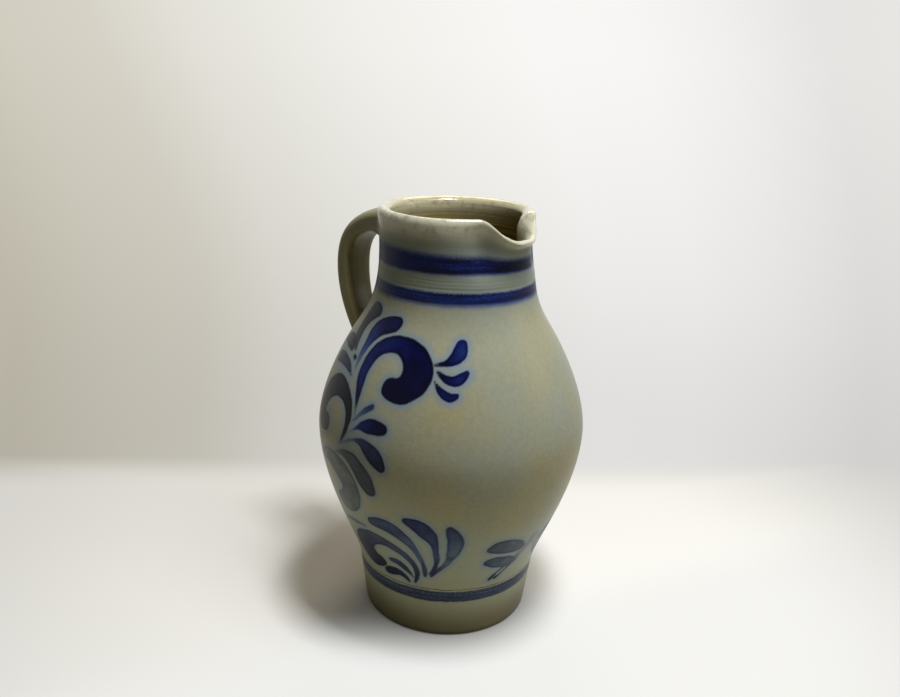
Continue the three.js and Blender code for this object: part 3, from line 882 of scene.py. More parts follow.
    def stroke_layer(self, tree: Tree, coat: Coat, wobble: Socket,
                     fleck: Socket) -> tuple[Socket, Socket, Socket, Socket]:
        """Read one coat of brush strokes.

        Args:
            tree: the material's nodes.
            coat: which coat.
            wobble: unevenness of the edge in millimetres.
            fleck: what grains of salt take from a band's tone.

        Returns:
            Cover, tone, greyness and bleed.
        """
        line = add_node(tree, "Attribute", out="Vector", attribute_name=f"line_{coat.value}")
        edge, across, along = add_node(tree, "SeparateXYZ", (line,)).node.outputs
        edge = add_node(tree, "Math", (edge, wobble), operation="ADD")
        soft = self.edge_softness
        cover, bleed, pool = (
            add_node(tree, "MapRange", (edge, start, full, 0.0, most), **SMOOTH)
            for start, full, most in (
                (soft, -soft, 1.0),
                (self.bleed_width, 0.0, self.bleed_cover),
                (-self.pool_width, -soft, self.pool)))
        hair = add_node(tree, "CombineXYZ", (across, along))
        spacing = (1 / self.hair_spacing, 1 / self.hair_length, 1.0)
        hair = add_node(tree, "VectorMath", (hair, spacing), operation="MULTIPLY")
        hair = add_node(tree, "TexNoise", {"Vector": hair, "Scale": 1.0, "Detail": 2.0})
        hair = add_node(tree, "MapRange", (hair, *self.noise_span, -self.hair_tone, self.hair_tone))
        wash = add_node(tree, "Attribute", out="Vector", attribute_name=f"wash_{coat.value}")
        tone, greyness, _ = add_node(tree, "SeparateXYZ", (wash,)).node.outputs
        tone = add_node(tree, "Math", (tone, pool, tone), operation="MULTIPLY_ADD")
        tone = add_node(tree, "Math", (tone, hair), operation="ADD")
        for change, share in ((wobble, self.drift), (fleck, self.stroke_fleck)):
            tone = add_node(tree, "Math", (change, share, tone), operation="MULTIPLY_ADD")
        return cover, tone, greyness, bleed

    def band_layer(self, tree: Tree, band: PaintedBand, place: Socket, level: Socket, streak: Socket,
                   patch: Socket, fleck: Socket) -> tuple[Socket, Socket, Socket]:
        """Read one painted ring.

        Args:
            tree: the material's nodes.
            band: the ring.
            place: place in millimetres.
            level: height on the wall before the spout was pulled, with its wobble and grain.
            streak: long streaks round the pot, from 0 to 1.
            patch: where the brush was reloaded, from 0 to 1.
            fleck: what grains of salt take from its tone.

        Returns:
            Cover, tone and greyness.
        """
        climb = add_node(tree, "VectorMath", (place, (*band.climb, 0.0)), "Value", operation="DOT_PRODUCT")
        upper = add_node(tree, "Math", (level, climb), operation="SUBTRACT")
        sides = tuple(
            add_node(tree, "MapRange", (height, edge - fade, edge + fade), **SMOOTH)
            for height, edge, fade in (
                (level, band.low, band.low_fade / 2), (upper, band.high, -band.high_fade / 2)))
        cover = add_node(tree, "Math", sides, operation="MULTIPLY")
        middle = (band.low + band.high) / 2
        half = band.high - middle
        off = add_node(tree, "Math", (level, middle), operation="SUBTRACT")
        off = add_node(tree, "Math", (off,), operation="ABSOLUTE")
        pool = add_node(tree, "MapRange", (off, half - self.pool_width, half, 0.0, band.edge_pool))
        pale, dark = self.band_tones
        tone = add_node(tree, "MapRange", (streak, *self.noise_span, band.tone + pale, band.tone + dark))
        tone = add_node(tree, "Math", (patch, band.patches, tone), operation="MULTIPLY_ADD")
        for change in (pool, fleck):
            tone = add_node(tree, "Math", (tone, change), operation="ADD")
        greyest = min(1.0, band.greyness + band.patches)
        greyness = add_node(tree, "MapRange", (patch, 0.0, 1.0, band.greyness, greyest))
        return cover, tone, greyness

    def painting(self, tree: Tree, place: Socket, rest: Socket,
                 streak: Socket) -> tuple[Socket, Socket, Socket, Socket]:
        """Lay the coats of brush strokes over each other, and the bands over them.

        Args:
            tree: the material's nodes.
            place: place in millimetres.
            rest: height on the wall before the spout was pulled.
            streak: long streaks round the pot, from 0 to 1.

        Returns:
            Cover, tone, greyness and bleed.
        """
        spacing = (1 / self.patch_length, 1 / self.patch_length, 1 / self.patch_height)
        patch = add_node(tree, "VectorMath", (place, spacing), operation="MULTIPLY")
        patch = add_node(tree, "TexNoise", {"Vector": patch, "Scale": 1.0, "Detail": 2.0})
        patch = add_node(tree, "MapRange", (patch, *self.patch_span))
        wander, grain = (
            add_node(tree, "TexNoise", {"Vector": place, "Scale": 1 / size, "Detail": 1.0})
            for size in (self.wobble_size, self.grain_size))
        wander = add_node(tree, "MapRange", (wander, *self.noise_span, -self.wobble, self.wobble))
        centred = add_node(tree, "Math", (grain, 0.5), operation="SUBTRACT")
        wobble = add_node(tree, "Math", (centred, self.stroke_grain, wander), operation="MULTIPLY_ADD")
        level = rest
        for change, share in ((wander, self.band_wander), (centred, self.band_grain)):
            level = add_node(tree, "Math", (change, share, level), operation="MULTIPLY_ADD")
        fleck = add_node(tree, "MapRange", (grain, *self.fleck_span, 0.0, -self.fleck))
        strokes = [self.stroke_layer(tree, coat, wobble, fleck) for coat in Coat]
        bands = [self.band_layer(tree, band, place, level, streak, patch, fleck) for band in BANDS]
        cover, tone, greyness, bleed = strokes[0]
        for *_, more in strokes[1:]:
            bleed = add_node(tree, "Math", (bleed, more), operation="MAXIMUM")
        for more, more_tone, more_grey, *_ in strokes[1:] + bands:
            tone = add_node(tree, "Mix", {0: more, 2: tone, 3: more_tone})
            greyness = add_node(tree, "Mix", {0: more, 2: greyness, 3: more_grey})
            cover = add_node(tree, "Math", (cover, more), operation="MAXIMUM")
        return cover, tone, greyness, bleed

    def scratch(self, tree: Tree, place: Socket, rest: Socket) -> Socket:
        """Draw the thin, broken line that wanders above the foot.

        Args:
            tree: the material's nodes.
            place: place in millimetres.
            rest: height on the wall.

        Returns:
            How dark the line is, from 0 to 1.
        """
        wander, gaps = (
            add_node(tree, "TexNoise", {"Vector": place, "Scale": 1 / size, "Detail": detail})
            for size, detail in ((self.wobble_size, 3.0), (self.patch_length, 2.0)))
        level = add_node(tree, "Math", (wander, self.hairline_wander, rest), operation="MULTIPLY_ADD")
        middle = self.hairline_level + self.hairline_wander / 2
        off = add_node(tree, "Math", (level, middle), operation="SUBTRACT")
        off = add_node(tree, "Math", (off,), operation="ABSOLUTE")
        width = self.hairline_width
        line = add_node(tree, "MapRange", (off, width, width * self.hairline_core))
        kept = add_node(tree, "MapRange", (gaps, *self.hairline_gaps))
        return add_node(tree, "Math", (line, kept), operation="MULTIPLY")

    def material(self) -> bpy.types.Material:
        """Make the glaze with its zones, strokes, bands and the hairline scratched above the foot.

        Returns:
            The material.
        """
        made = new_material(self.title)
        tree = made.node_tree
        place, colour, height = self.ground(tree)
        rest = add_node(tree, "Attribute", out="Fac", attribute_name="rest_height")
        spacing = (1 / self.streak_length, 1 / self.streak_length, 1 / self.streak_height)
        streak = add_node(tree, "VectorMath", (place, spacing), operation="MULTIPLY")
        streak = add_node(tree, "TexNoise", {"Vector": streak, "Scale": 1.0, "Detail": 3.0})
        colour, rim = self.zones(tree, place, colour, rest, streak)
        cover, tone, greyness, bleed = self.painting(tree, place, rest, streak)
        outer = add_node(tree, "Attribute", out="Fac", attribute_name="outside")
        cover = add_node(tree, "Math", (cover, outer), operation="MULTIPLY")
        blue, grey = (add_node(tree, "ValToRGB", (tone,), stops=stops) for stops in (self.blues, self.greys))
        paint = add_node(tree, "Mix", {0: greyness, 6: blue, 7: grey}, **COLOUR_MIX)
        line = self.scratch(tree, place, rest)
        for share, layer in ((bleed, linear(self.bleed)), (cover, paint), (line, linear(self.hairline))):
            colour = add_node(tree, "Mix", {0: share, 6: colour, 7: layer}, **COLOUR_MIX)
        height = add_node(tree, "Math", (streak, self.streak_depth, height), operation="MULTIPLY_ADD")
        rough = add_node(tree, "MapRange", (rim, 0.0, 1.0, self.roughness, self.roughness - self.rim_polish))
        glass = add_node(tree, "Math", (rim, self.glass), operation="MULTIPLY")
        self.close(made, colour, rough, height, glass)
        return made


@dataclass(frozen=True)
class PaperSweep:
    """Matt white paper, rolled off its reel behind the jug: pale, even and without gloss.

    Seen by the eye or in the glaze, the floor is lit by the lamps and carries a painted glow, an emission
    that is
    stronger in front of the jug and fades near its foot as a painted contact shade. The wall is painted
    light:
    an emission in pale shades, darker to the left and paler up high.
    """

    title: str = "matt_paper"
    colour: str = "#e8e7e2"
    glow: str = "#f0f0ee"  # painted light: an emission laid on the floor, not light from any lamp
    painted_glow_shares: Span = (0.1, 0.65)  # how much of the painted glow shows behind the jug and in front
    painted_glow_edge: Span = (0.0, 70.0)  # distances in front of the jug's axis between which that changes
    painted_glow_turn: float = 0.35  # how far the edge runs back with each millimetre to the right
    painted_contact_shade: float = 30.0  # distance from the foot over which the painted glow fades: a painted contact shade
    warm_bounce: str = "#e6ddc2"  # what the lit floor sends on to the jug
    dull_bounce: str = "#6f6a58"  # what the far wall sends back, as an unlit room does
    lit: Span = (190.0, 430.0)  # distances from the jug between which the lit floor turns into the wall
    fold: Span = (125.0, 190.0)  # the same behind the jug, where the paper is creased
    fold_turn: float = 0.07  # how far the crease runs back with each millimetre to the right
    fan_start: float = 560.0  # the wall's painted shades fan out from a point this far in front of the jug
    fan: Span = (-0.9, 0.9)  # slopes at the fan's left and right
    fan_lean: float = 0.28  # how far the fan leans to the left with each metre of height
    plain: str = "#e4e2dc"  # the wall away from the fan
    # painted light on the wall: darker to the left and palest right of the middle, as if lit from the right
    shades: Stops = (
        (0.0, "#e4e2dc"), (0.24, "#bfbaab"), (0.3, "#c9c5b8"), (0.35, "#cecabf"), (0.4, "#dad8d0"),
        (0.5, "#e8e7e2"), (0.59, "#efeeec"), (0.65, "#eeedeb"), (0.7, "#e8e7e5"), (0.76, "#dddcda"),
        (1.0, "#e4e2dc"))
    climb: Span = (350.0, 1420.0)  # way along the floor and up the wall over which its painted light grows paler
    # strength of the wall's painted light at the two ends of that way
    painted_wall_light: Span = (0.87, 1.09)

    def material(self, right: Vector) -> bpy.types.Material:
        """Make the paper.

        Args:
            right: level direction to the right, as seen from in front of the jug.

        Returns:
            The material.
        """
        made = new_material(self.title)
        tree = made.node_tree
        place = add_node(tree, "TexCoord", out="Object")
        back = Vector((-right.y, right.x, 0.0)) - right * self.fold_turn
        across, behind = (
            add_node(tree, "VectorMath", (place, way), "Value", operation="DOT_PRODUCT")
            for way in (right, back))
        far = add_node(tree, "VectorMath", (place,), "Value", operation="LENGTH")
        height = add_node(tree, "SeparateXYZ", (place,), 2)
        # painted light: the wall's shades fan out round the jug and lean with height
        deep = add_node(tree, "Math", (behind, 0.0), operation="MAXIMUM")
        deep = add_node(tree, "Math", (deep, self.fan_start * MM), operation="ADD")
        slope = add_node(tree, "Math", (across, deep), operation="DIVIDE")
        slope = add_node(tree, "Math", (height, self.fan_lean, slope), operation="MULTIPLY_ADD")
        slope = add_node(tree, "MapRange", (slope, *self.fan))
        shade = add_node(tree, "ValToRGB", (slope,), stops=self.shades)
        way = add_node(tree, "Math", (far, height), operation="ADD")
        start, end = self.climb
        level = add_node(tree, "MapRange", (way, start * MM, end * MM, *self.painted_wall_light))
        # painted light: the floor's glow grows from behind the jug to its front
        ahead = add_node(tree, "Math", (across, self.painted_glow_turn), operation="MULTIPLY")
        ahead = add_node(tree, "Math", (ahead, behind), operation="SUBTRACT")
        rise, crease, share = (
            add_node(tree, "MapRange", (distance, low * MM, high * MM, *shares), **SMOOTH)
            for distance, (low, high), shares in (
                (far, self.lit, (0.0, 1.0)), (behind, self.fold, (0.0, 1.0)),
                (ahead, self.painted_glow_edge, self.painted_glow_shares)))
        either = add_node(tree, "Math", (rise, crease), operation="MAXIMUM")
        shade = add_node(tree, "Mix", {0: crease, 6: linear(self.plain), 7: shade}, **COLOUR_MIX)
        # the wall is painted light: an emission in the painted shades, paler higher up
        wall = add_node(tree, "Emission", {"Color": shade, "Strength": level})
        floor, warm, dull = (
            add_node(tree, "BsdfDiffuse", {"Color": linear(colour)})
            for colour in (self.colour, self.warm_bounce, self.dull_bounce))
        # painted contact shade: ambient occlusion dims the painted glow near the foot
        clear = add_node(tree, "AmbientOcclusion", {"Distance": self.painted_contact_shade * MM}, "AO")
        glow = add_node(tree, "Emission", {"Color": linear(self.glow), "Strength": clear})
        floor = add_node(tree, "MixShader", (share, floor, glow))
        shown = add_node(tree, "MixShader", (either, floor, wall))
        sent = add_node(tree, "MixShader", (rise, warm, dull))
        rays = add_node(tree, "LightPath", out="Is Camera Ray")
        seen = rays
        for kind in ("Is Glossy Ray", "Is Transmission Ray"):
            seen = add_node(tree, "Math", (seen, rays.node.outputs[kind]), operation="MAXIMUM")
        surface = add_node(tree, "MixShader", (seen, sent, shown))
        add_node(tree, "OutputMaterial", {"Surface": surface})
        return made


# Pieces of the jug

@dataclass(frozen=True)
class TurnedLine:
    """A line cut with a point while the pot turns."""

    level: float
    width: float
    depth: float
    drift: float  # how far it wanders up and down round the pot


@dataclass
class ThrownBody:
    """The pot, from the middle of its base over the rim to the middle of its floor."""

    wall: PotWall
    brushwork: Brushwork
    glaze: SaltGlaze
    columns: int = 340
    pole: float = 3.0  # radius of the first and last ring
    base_rows: int = 5
    bevel_rows: int = 5
    row_levels: tuple[float, ...] = (1.6, 22.0, 34.0, 186.0, 197.4, 206.0, 231.0)  # where the spacing changes
    rows_between: tuple[int, ...] = (12, 24, 112, 10, 20, 22)  # close together where lines are cut
    rim_rows: int = 15
    inner_rows: int = 50
    fillet_rows: int = 7
    floor_rows: int = 6
    inside_turn: Span = (1.2, 2.8)  # angles over the rim, in radians, between which the inside's glaze begins
    inner_ring_spacing: float = 6.5
    inner_ring_depth: float = 0.22
    inner_ring_levels: Span = (14.0, 40.0)  # heights over which the rings grow
    painted_light_angles: Span = (36.0, 52.0)  # between the lip's channel, painted as pale as the lit rim, and the inside: painted light
    painted_light_levels: Span = (196.0, 212.0)
    painted_light_run: float = 18.0  # how far the rim's pale colour is painted down that channel as painted light
    unpainted: float = -1000.0  # height that the brushwork reads on the inside, out of reach of every stroke
    lines: tuple[TurnedLine, ...] = (
        TurnedLine(199.6, 0.7, 0.12, 0.1),
        TurnedLine(201.6, 0.5, 0.06, 0.2),
        TurnedLine(203.4, 0.6, 0.08, 0.15),
        TurnedLine(204.9, 0.5, 0.05, 0.2),
        TurnedLine(32.4, 0.5, 0.12, 0.2),
        TurnedLine(24.0, 0.5, 0.22, 0.1),
    )
    line_waves: tuple[tuple[float, int, float], ...] = ((1.0, 5, 1.3), (0.6, 13, 0.0))  # share, count, phase

    def profile(self) -> tuple[Array, Array, Array]:
        """Walk the section: base, bevel, outside, two quarter ellipses over the rim, inside, fillet, floor.

        Returns:
            Radius, height and inside share of each row.
        """
        wall = self.wall
        base = np.linspace(self.pole, wall.foot_radius - wall.foot_bevel, self.base_rows, endpoint=False)
        turn = np.linspace(0.0, np.pi / 2, self.bevel_rows, endpoint=False)
        bevel_radius = wall.foot_radius - wall.foot_bevel * (1.0 - np.sin(turn))
        bevel_height = wall.foot_bevel * (1.0 - np.cos(turn))
        steps = zip(self.row_levels, self.row_levels[1:], self.rows_between)
        outside = np.concatenate([np.linspace(*step, endpoint=False) for step in steps])
        over = np.linspace(0.0, np.pi, self.rim_rows)
        from_crest = np.where(over < np.pi / 2, wall.rim_crest, wall.rim_thickness - wall.rim_crest)
        rim_radius = wall.rim_radius - wall.rim_crest + from_crest * np.cos(over)
        rim_start = wall.rim_level - wall.rim_round
        rim_height = rim_start + wall.rim_round * np.sin(over)
        fillet_top = wall.base_thickness + wall.floor_fillet
        inside = np.linspace(rim_start, fillet_top, self.inner_rows, endpoint=False)[1:]
        fillet = np.linspace(0.0, np.pi / 2, self.fillet_rows)
        fillet_radius = wall.inner_radius(fillet_top) - wall.floor_fillet * (1.0 - np.cos(fillet))
        fillet_height = fillet_top - wall.floor_fillet * np.sin(fillet)
        floor = np.linspace(fillet_radius[-1], self.pole, self.floor_rows)[1:]
        radius = np.concatenate([
            base, bevel_radius, wall.radius(outside), rim_radius, wall.inner_radius(inside), fillet_radius,
            floor])
        height = np.concatenate([
            np.zeros(len(base)), bevel_height, outside, rim_height, inside, fillet_height,
            np.full(len(floor), wall.base_thickness)])
        before = len(base) + len(bevel_radius) + len(outside)
        after = len(radius) - before - len(over)
        inner = np.concatenate([np.zeros(before), smoothstep(over, *self.inside_turn), np.ones(after)])
        return radius, height, inner

    def cut_lines(self, height: Array, angle: Array) -> Array:
        """Cut all turned lines: each is a bell curve across its width, wandering by two slow waves.

        Args:
            height: height of each row.
            angle: angle of each column from the lip, in degrees.

        Returns:
            The depth at each row and column.
        """
        turn = np.radians(angle)
        wander = sum(share * np.sin(count * turn + phase) for share, count, phase in self.line_waves)
        return sum(
            line.depth * np.exp(-(((height - line.level - line.drift * wander) / line.width) ** 2))
            for line in self.lines)

    def build(self) -> bpy.types.Object:
        """Turn the profile, cut its lines, pull the spout and store what the glaze reads.

        Returns:
            The dressed object.
        """
        radius, height, inner = (row[:, None] for row in self.profile())
        angle = np.linspace(-180.0, 180.0, self.columns, endpoint=False)[None, :]
        turn = np.radians(angle)
        wave = np.sin(2 * np.pi * height / self.inner_ring_spacing + turn)
        ripple = self.inner_ring_depth * wave * smoothstep(height, *self.inner_ring_levels) * (inner == 1.0)
        worked = radius - self.cut_lines(height, angle) * (inner == 0.0) + ripple
        rest, around = np.broadcast_arrays(height, angle)
        moved, level = self.wall.pull_spout(worked, rest, around)
        rings = np.stack([moved * np.cos(turn), moved * np.sin(turn), level], axis=-1)
        made = tube_mesh("thrown_body_glazed", rings)
        # painted light: the lip's channel takes the rim's pale colour in place of the inside's darker one
        lip = (1.0 - smoothstep(np.abs(angle), *self.painted_light_angles)) * smoothstep(height, *self.painted_light_levels)
        add_attribute(made, "rest_height", rest + self.painted_light_run * lip * inner)
        add_attribute(made, "inside", inner * (1.0 - lip))
        add_attribute(made, "outside", np.broadcast_to(1.0 - inner, worked.shape))
        painted = np.where(inner == 0.0, rest, self.unpainted)
        for coat, (line, wash) in self.brushwork.lay(around, painted).items():
            add_attribute(made, f"line_{coat.value}", line)
            add_attribute(made, f"wash_{coat.value}", wash)
        made.data.materials.append(self.glaze.material())
        return made


@dataclass
class StrapHandle:
    """The pulled strap: a flattened section carried along a bent middle line."""

    wall: PotWall
    glaze: SaltGlaze
    width: float = 21.0
    thickness: float = 12.0
    root_spread: float = 6.0  # extra width at the neck
    root_share: float = 0.3  # share of the length over which that fades
    root_depth: float = 21.0  # extra clay under the strap, at its hidden start in the neck's wall
    root_depth_share: float = 0.25
    taper: float = 0.12  # share of its section that the tail loses
    taper_start: float = 0.5
    finger_gap: float = 34.37
    top_drop: float = 10.2  # from the rim down to its start
    bend_drop: float = 45.0  # from the rim down to its farthest point
    tail_drop: float = 14.0  # from the shoulder's level down to its tail
    fall: float = 0.14  # how far it falls with each millimetre as it leaves the neck
    tail_angle: float = 52.0  # below the level, as it meets the shoulder
    top_pull: float = 0.74  # shares of the reach and of the two drops over which the line holds its direction
    bend_pull: float = 0.62
    fall_pull: float = 0.42
    tail_pull: float = 0.3
    outer_power: float = 2.3  # of the superellipse, where 2 is an ellipse and more is squarer
    inner_power: float = 5.0
    sunk: float = 3.0  # how far the hidden ends reach into the wall
    rows: int = 200
    sides: int = 72

    @cached_property
    def middle_line(self) -> Array:
        """Bend the middle line in the XZ plane: two cubic curves that meet at the bend.

        Returns:
            X and Z of points that are evenly spaced along it.
        """
        wall = self.wall
        reach = wall.neck_radius + self.finger_gap + self.thickness / 2
        top_level = wall.rim_level - self.top_drop
        tail_level = wall.shoulder_level - self.tail_drop
        lean = math.radians(self.tail_angle)
        inward = np.array([math.cos(lean), -math.sin(lean)])
        outward = np.array([-1.0, -self.fall])
        top = np.array([wall.wall - float(wall.radius(top_level)), top_level + self.fall * wall.wall])
        bend = np.array([-reach, wall.rim_level - self.bend_drop])
        tail = np.array([-float(wall.radius(tail_level)), tail_level]) + wall.wall * inward
        above = top[1] - bend[1]
        below = bend[1] - tail[1]
        share = np.linspace(0.0, 1.0, OUTLINE_SAMPLES)
        out_pull = self.top_pull * (reach + top[0]) * outward
        upper = bezier([top, top + out_pull, bend + (0.0, self.bend_pull * above), bend], share)
        in_pull = self.tail_pull * below * inward
        lower = bezier([bend, bend - (0.0, self.fall_pull * below), tail - in_pull, tail], share)
        rough = np.vstack([upper, lower[1:]])
        length = np.concatenate([[0.0], np.cumsum(np.linalg.norm(np.diff(rough, axis=0), axis=1))])
        even = np.linspace(0.0, length[-1], 4 * OUTLINE_SAMPLES)
        return np.stack([np.interp(even, length, rough[:, i]) for i in (0, 1)], axis=1)

    @property
    def length(self) -> float:
        """Length of the middle line."""
        return float(np.linalg.norm(np.diff(self.middle_line, axis=0), axis=1).sum())

    def rings(self, share: Array) -> tuple[Array, Array]:
        """Rings of the strap and the directions that point out of them.

        A section is a superellipse, |a|ⁿ + |b|ⁿ = 1, squarer on the fingers' side and deeper there at the
        neck. Its axes are the strap's width along Y and its thickness in the XZ plane, square to the middle
        line.

        Args:
            share: places along the middle line, from 0 at the neck to 1 at the shoulder.

        Returns:
            Points and unit normals, as rows by sides by three.
        """
        spots = np.linspace(0.0, 1.0, len(self.middle_line))
        slope = np.gradient(self.middle_line, axis=0)
        x, z, along_x, along_z = (
            np.interp(share, spots, values)[:, None]
            for values in (*self.middle_line.T, *(slope / np.linalg.norm(slope, axis=1)[:, None]).T))
        spread = self.root_spread * (1.0 - smoothstep(share, 0.0, self.root_share))
        kept = 1.0 - self.taper * smoothstep(share, self.taper_start, 1.0)
        half_width = (kept * (self.width + spread) / 2)[:, None]
        deeper = self.root_depth * np.clip(1.0 - share / self.root_depth_share, 0.0, 1.0) ** 2
        turn = np.linspace(0.0, 2 * np.pi, self.sides, endpoint=False)[None, :]
        across, through = -np.cos(turn), np.sin(turn)
        power = 2.0 / np.where(through > 0, self.outer_power, self.inner_power)
        half_thick = (kept * self.thickness / 2)[:, None] + np.where(through > 0, 0.0, deeper[:, None])
        side = half_width * np.sign(across) * np.abs(across) ** power
        rise = half_thick * np.sign(through) * np.abs(through) ** power
        points = np.stack([x + along_z * rise, side + 0 * x, z - along_x * rise], axis=-1)
        lean_side = np.sign(across) * np.abs(across) ** (2.0 - power) / half_width
        lean_rise = np.sign(through) * np.abs(through) ** (2.0 - power) / half_thick
        normals = np.stack([along_z * lean_rise, lean_side, -along_x * lean_rise], axis=-1)
        return points, normals / np.linalg.norm(normals, axis=-1)[..., None]

    def keep_in_wall(self, points: Array, depth: float) -> Array:
        """Hold every point at most a given depth inside the pot's outside by moving it out along its radius.

        Args:
            points: points of the piece.
            depth: how deep they may lie.

        Returns:
            The points, moved where they lay deeper.
        """
        radius = np.hypot(points[..., 0], points[..., 1])
        least = self.wall.radius(points[..., 2]) - depth
        scale = np.maximum(least / radius, 1.0)[..., None]
        return np.concatenate([points[..., :2] * scale, points[..., 2:]], axis=-1)

    def pull_marks(self, share: Array) -> Array:
        """Measure the section and the strap, for the marks that pulling leaves.

        Args:
            share: places along the middle line, from 0 to 1.

        Returns:
            Distance round the section, distance along the strap and zero, as rows by sides by three.
        """
        around = np.linspace(-np.pi, np.pi, self.sides, endpoint=False)[None, :] + 0 * share[:, None]
        fold = np.abs(around) * self.width / 2
        return np.stack([fold, share[:, None] * self.length + 0 * around, 0 * around], axis=-1)

    def build(self) -> bpy.types.Object:
        """Make the strap, with its ends hidden in the pot's wall.

        Returns:
            The dressed object.
        """
        share = np.linspace(0.0, 1.0, self.rows)
        points, _ = self.rings(share)
        made = tube_mesh("strap_handle_glazed", self.keep_in_wall(points, self.sunk))
        add_attribute(made, "pull", self.pull_marks(share))
        made.data.materials.append(self.glaze.material())
        return made


class StrapEnd(Enum):
    """The two ends of the strap, each with the part of its length that slip covers."""

    UPPER = (0.0, 0.3)
    LOWER = (1.0, 0.66)


@dataclass
class SlipJoint:
    """Clay slip wiped into a hollow fillet where the strap meets the pot."""

    handle: StrapHandle
    end: StrapEnd
    glaze: SaltGlaze
    climb: float = 12.0  # how far it is wiped up the strap
    spread: float = 2.8  # how far it spreads at the wall
    tuck: float = 0.12  # how far its tip lies under the strap's skin
    sunk: float = 1.6  # how far its hidden part reaches into the wall
    rim_drop: float = 2.0  # how far it stays below the rim
    rows: int = 90

    def build(self) -> bpy.types.Object:
        """Grow the strap by a quarter ellipse that falls with the distance from the wall.

        Returns:
            The dressed object.
        """
        share = np.linspace(*self.end.value, self.rows)
        points, normals = self.handle.rings(share)
        wall = self.handle.wall
        gap = np.hypot(points[..., 0], points[..., 1]) - wall.radius(points[..., 2])
        left = np.clip(1.0 - gap / self.climb, 0.0, 1.0)
        grow = self.spread * (1.0 - np.sqrt(1.0 - left * left)) - self.tuck
        wiped = points + grow[..., None] * normals
        wiped[..., 2] = np.minimum(wiped[..., 2], wall.rim_level - self.rim_drop)
        made = tube_mesh(f"{self.end.name.lower()}_slip_fillet", self.handle.keep_in_wall(wiped, self.sunk))
        add_attribute(made, "pull", self.handle.pull_marks(share))
        made.data.materials.append(self.glaze.material())
        return made


# The studio

@dataclass(frozen=True)
class SoftLamp:
    """A square lamp with a soft front, aimed at the jug."""

    name: str
    place: tuple[float, float, float]
    side: float
    power: float  # watts
    colour: str

    def hang(self, aim: Vector) -> None:
        """Hang the lamp and turn it to the aim.

        Args:
            aim: the point it looks at, in metres.
        """
        data = bpy.data.lights.new(self.name, "AREA")
        data.size = self.side * MM
        data.energy = self.power
        data.color = linear(self.colour)[:3]
        lamp = bpy.data.objects.new(self.name, data)
        lamp.location = Vector(self.place) * MM
        lamp.rotation_euler = (aim - lamp.location).to_track_quat("-Z", "Y").to_euler()
        bpy.context.scene.collection.objects.link(lamp)


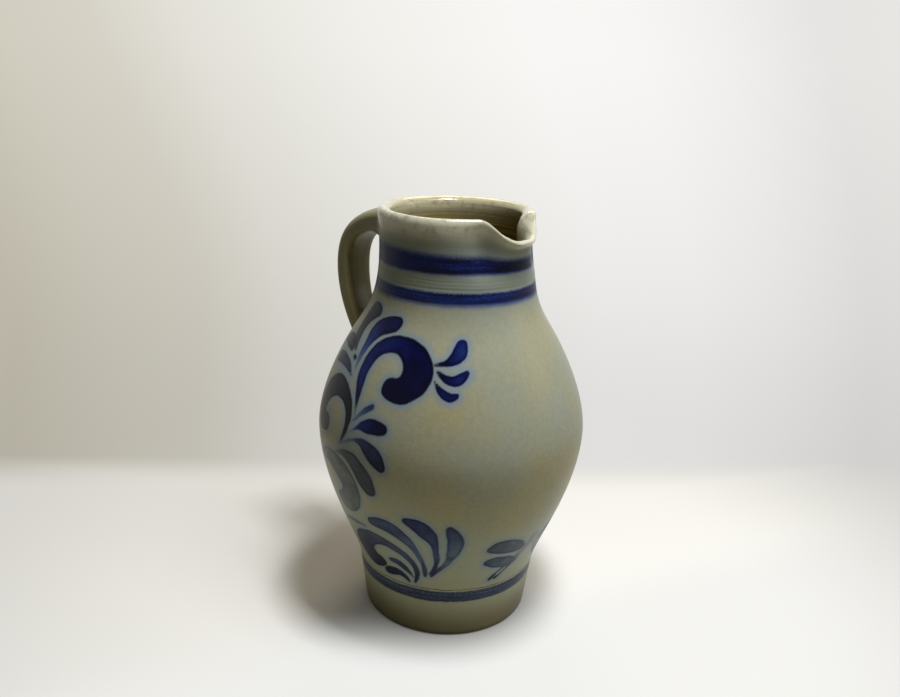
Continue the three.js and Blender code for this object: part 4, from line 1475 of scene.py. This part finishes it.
@dataclass
class Studio:
    """Paper sweep, lamps, sky and camera."""

    paper: PaperSweep
    inner_ring: float = 20.0  # radius of the disc in the middle of the floor
    floor_radius: float = 700.0
    floor_rows: int = 10
    sweep_round: float = 350.0
    round_rows: int = 16
    sweep_height: float = 700.0
    sweep_sides: int = 96
    aim_height: float = 115.0
    sky: str = "#d9c793"
    sky_strength: float = 0.03
    camera_place: tuple[float, float, float] = (302.2, -360.2, 308.8)
    camera_heading: float = 40.0  # from +Y towards -X
    camera_yaw: float = -0.25
    camera_pitch: float = 18.09
    camera_roll: float = 2.07
    lens: float = 35.19
    lamps: tuple[SoftLamp, ...] = (
        SoftLamp("ceiling_lamp", (195.0, -15.0, 985.0), 190.0, 8.0, "#fafcff"),
        SoftLamp("window_lamp", (398.0, 35.0, 808.0), 300.0, 2.0, "#fafcff"),
        SoftLamp("back_lamp", (-330.0, 394.0, 728.0), 300.0, 1.3, "#ffe8c0"),
        SoftLamp("side_lamp", (576.0, 483.0, 388.0), 300.0, 0.9, "#ffffff"),
    )

    def sweep(self) -> bpy.types.Object:
        """Lay the paper: a flat disc, a quarter-round rise and an upright wall, turned about the jug's axis.

        Returns:
            The dressed object.
        """
        turn = np.linspace(0.0, np.pi / 2, self.round_rows)
        flat = np.linspace(self.inner_ring, self.floor_radius, self.floor_rows, endpoint=False)
        out = self.floor_radius + self.sweep_round * np.sin(turn)
        up = self.sweep_round * (1.0 - np.cos(turn))
        radius = np.concatenate([flat, out, out[-1:]])[:, None]
        height = np.concatenate([0 * flat, up, up[-1:] + self.sweep_height])[:, None]
        angle = np.linspace(0.0, 2 * np.pi, self.sweep_sides, endpoint=False)[None, :]
        rings = np.stack([radius * np.cos(angle), radius * np.sin(angle), height + 0 * angle], axis=-1)
        here, quads = ring_faces(*rings.shape[:2])
        made = add_mesh("paper_sweep", rings.reshape(-1, 3), quads[:, ::-1].tolist() + [here[0].tolist()])
        heading = math.radians(self.camera_heading)
        made.data.materials.append(self.paper.material(Vector((math.cos(heading), math.sin(heading), 0.0))))
        return made

    def light(self) -> None:
        """Hang the lamps and fill the room with a weak even light."""
        aim = Vector((0.0, 0.0, self.aim_height * MM))
        for lamp in self.lamps:
            lamp.hang(aim)
        world = bpy.data.worlds.new("pale_room")
        world.use_nodes = True
        tree = world.node_tree
        tree.nodes.clear()
        glow = add_node(tree, "Background", {"Color": linear(self.sky), "Strength": self.sky_strength})
        add_node(tree, "OutputWorld", {"Surface": glow})
        bpy.context.scene.world = world

    def camera(self) -> None:
        """Set up the camera: heading, yaw and pitch give its line of sight, and roll turns the picture."""
        heading, yaw, pitch, roll = (math.radians(angle) for angle in (
            self.camera_heading, self.camera_yaw, self.camera_pitch, self.camera_roll))
        right = Vector((math.cos(heading - yaw), math.sin(heading - yaw), 0.0))
        level = Vector((-right.y, right.x, 0.0))
        sight = level * math.cos(pitch) - Vector((0.0, 0.0, math.sin(pitch)))
        up = right.cross(sight)
        turned_right = right * math.cos(roll) + up * math.sin(roll)
        turned_up = up * math.cos(roll) - right * math.sin(roll)
        data = bpy.data.cameras.new("photo_camera")
        data.lens = self.lens
        camera = bpy.data.objects.new("photo_camera", data)
        bpy.context.scene.collection.objects.link(camera)
        turn = Matrix((turned_right, turned_up, -sight)).transposed().to_4x4()
        camera.matrix_world = Matrix.Translation(Vector(self.camera_place) * MM) @ turn
        bpy.context.scene.camera = camera

    def build(self) -> None:
        """Put the whole studio up."""
        self.sweep()
        self.light()
        self.camera()
        bpy.context.scene.view_settings.view_transform = "Standard"


def place_piece(piece: bpy.types.Object, node: str) -> None:
    """Let a piece stand for its construction node and report it.

    Args:
        piece: the finished object.
        node: the node it replaces.
    """
    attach(piece, BODY)
    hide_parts(node)
    log.info("%s: %d faces, for %s", piece.name, len(piece.data.polygons), node)


def main() -> None:
    """Build the studio and the jug."""
    logging.basicConfig(level=logging.INFO, format="%(name)s: %(message)s")
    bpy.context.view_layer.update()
    Studio(PaperSweep()).build()
    wall = PotWall()
    body = ThrownBody(wall, Brushwork(wall), CobaltGlaze())
    place_piece(body.build(), "thrown_body")
    # the strap's glaze is a darker, more olive copy of the body's: partly its own glaze, partly painted shade
    # of the shaded handle; the slip copies it
    strap_glaze = SaltGlaze("salt_glazed_strap", glass=0.16, cool="#7f7c60", warm="#847d5a")
    handle = StrapHandle(wall, strap_glaze)
    place_piece(handle.build(), "strap_handle")
    slip_glaze = replace(strap_glaze, title="fired_slip", roughness=0.36, glass=0.5)
    for end in StrapEnd:
        slip = SlipJoint(handle, end, slip_glaze)
        place_piece(slip.build(), f"{end.name.lower()}_slip_joint")


if __name__ == "__main__":
    main()
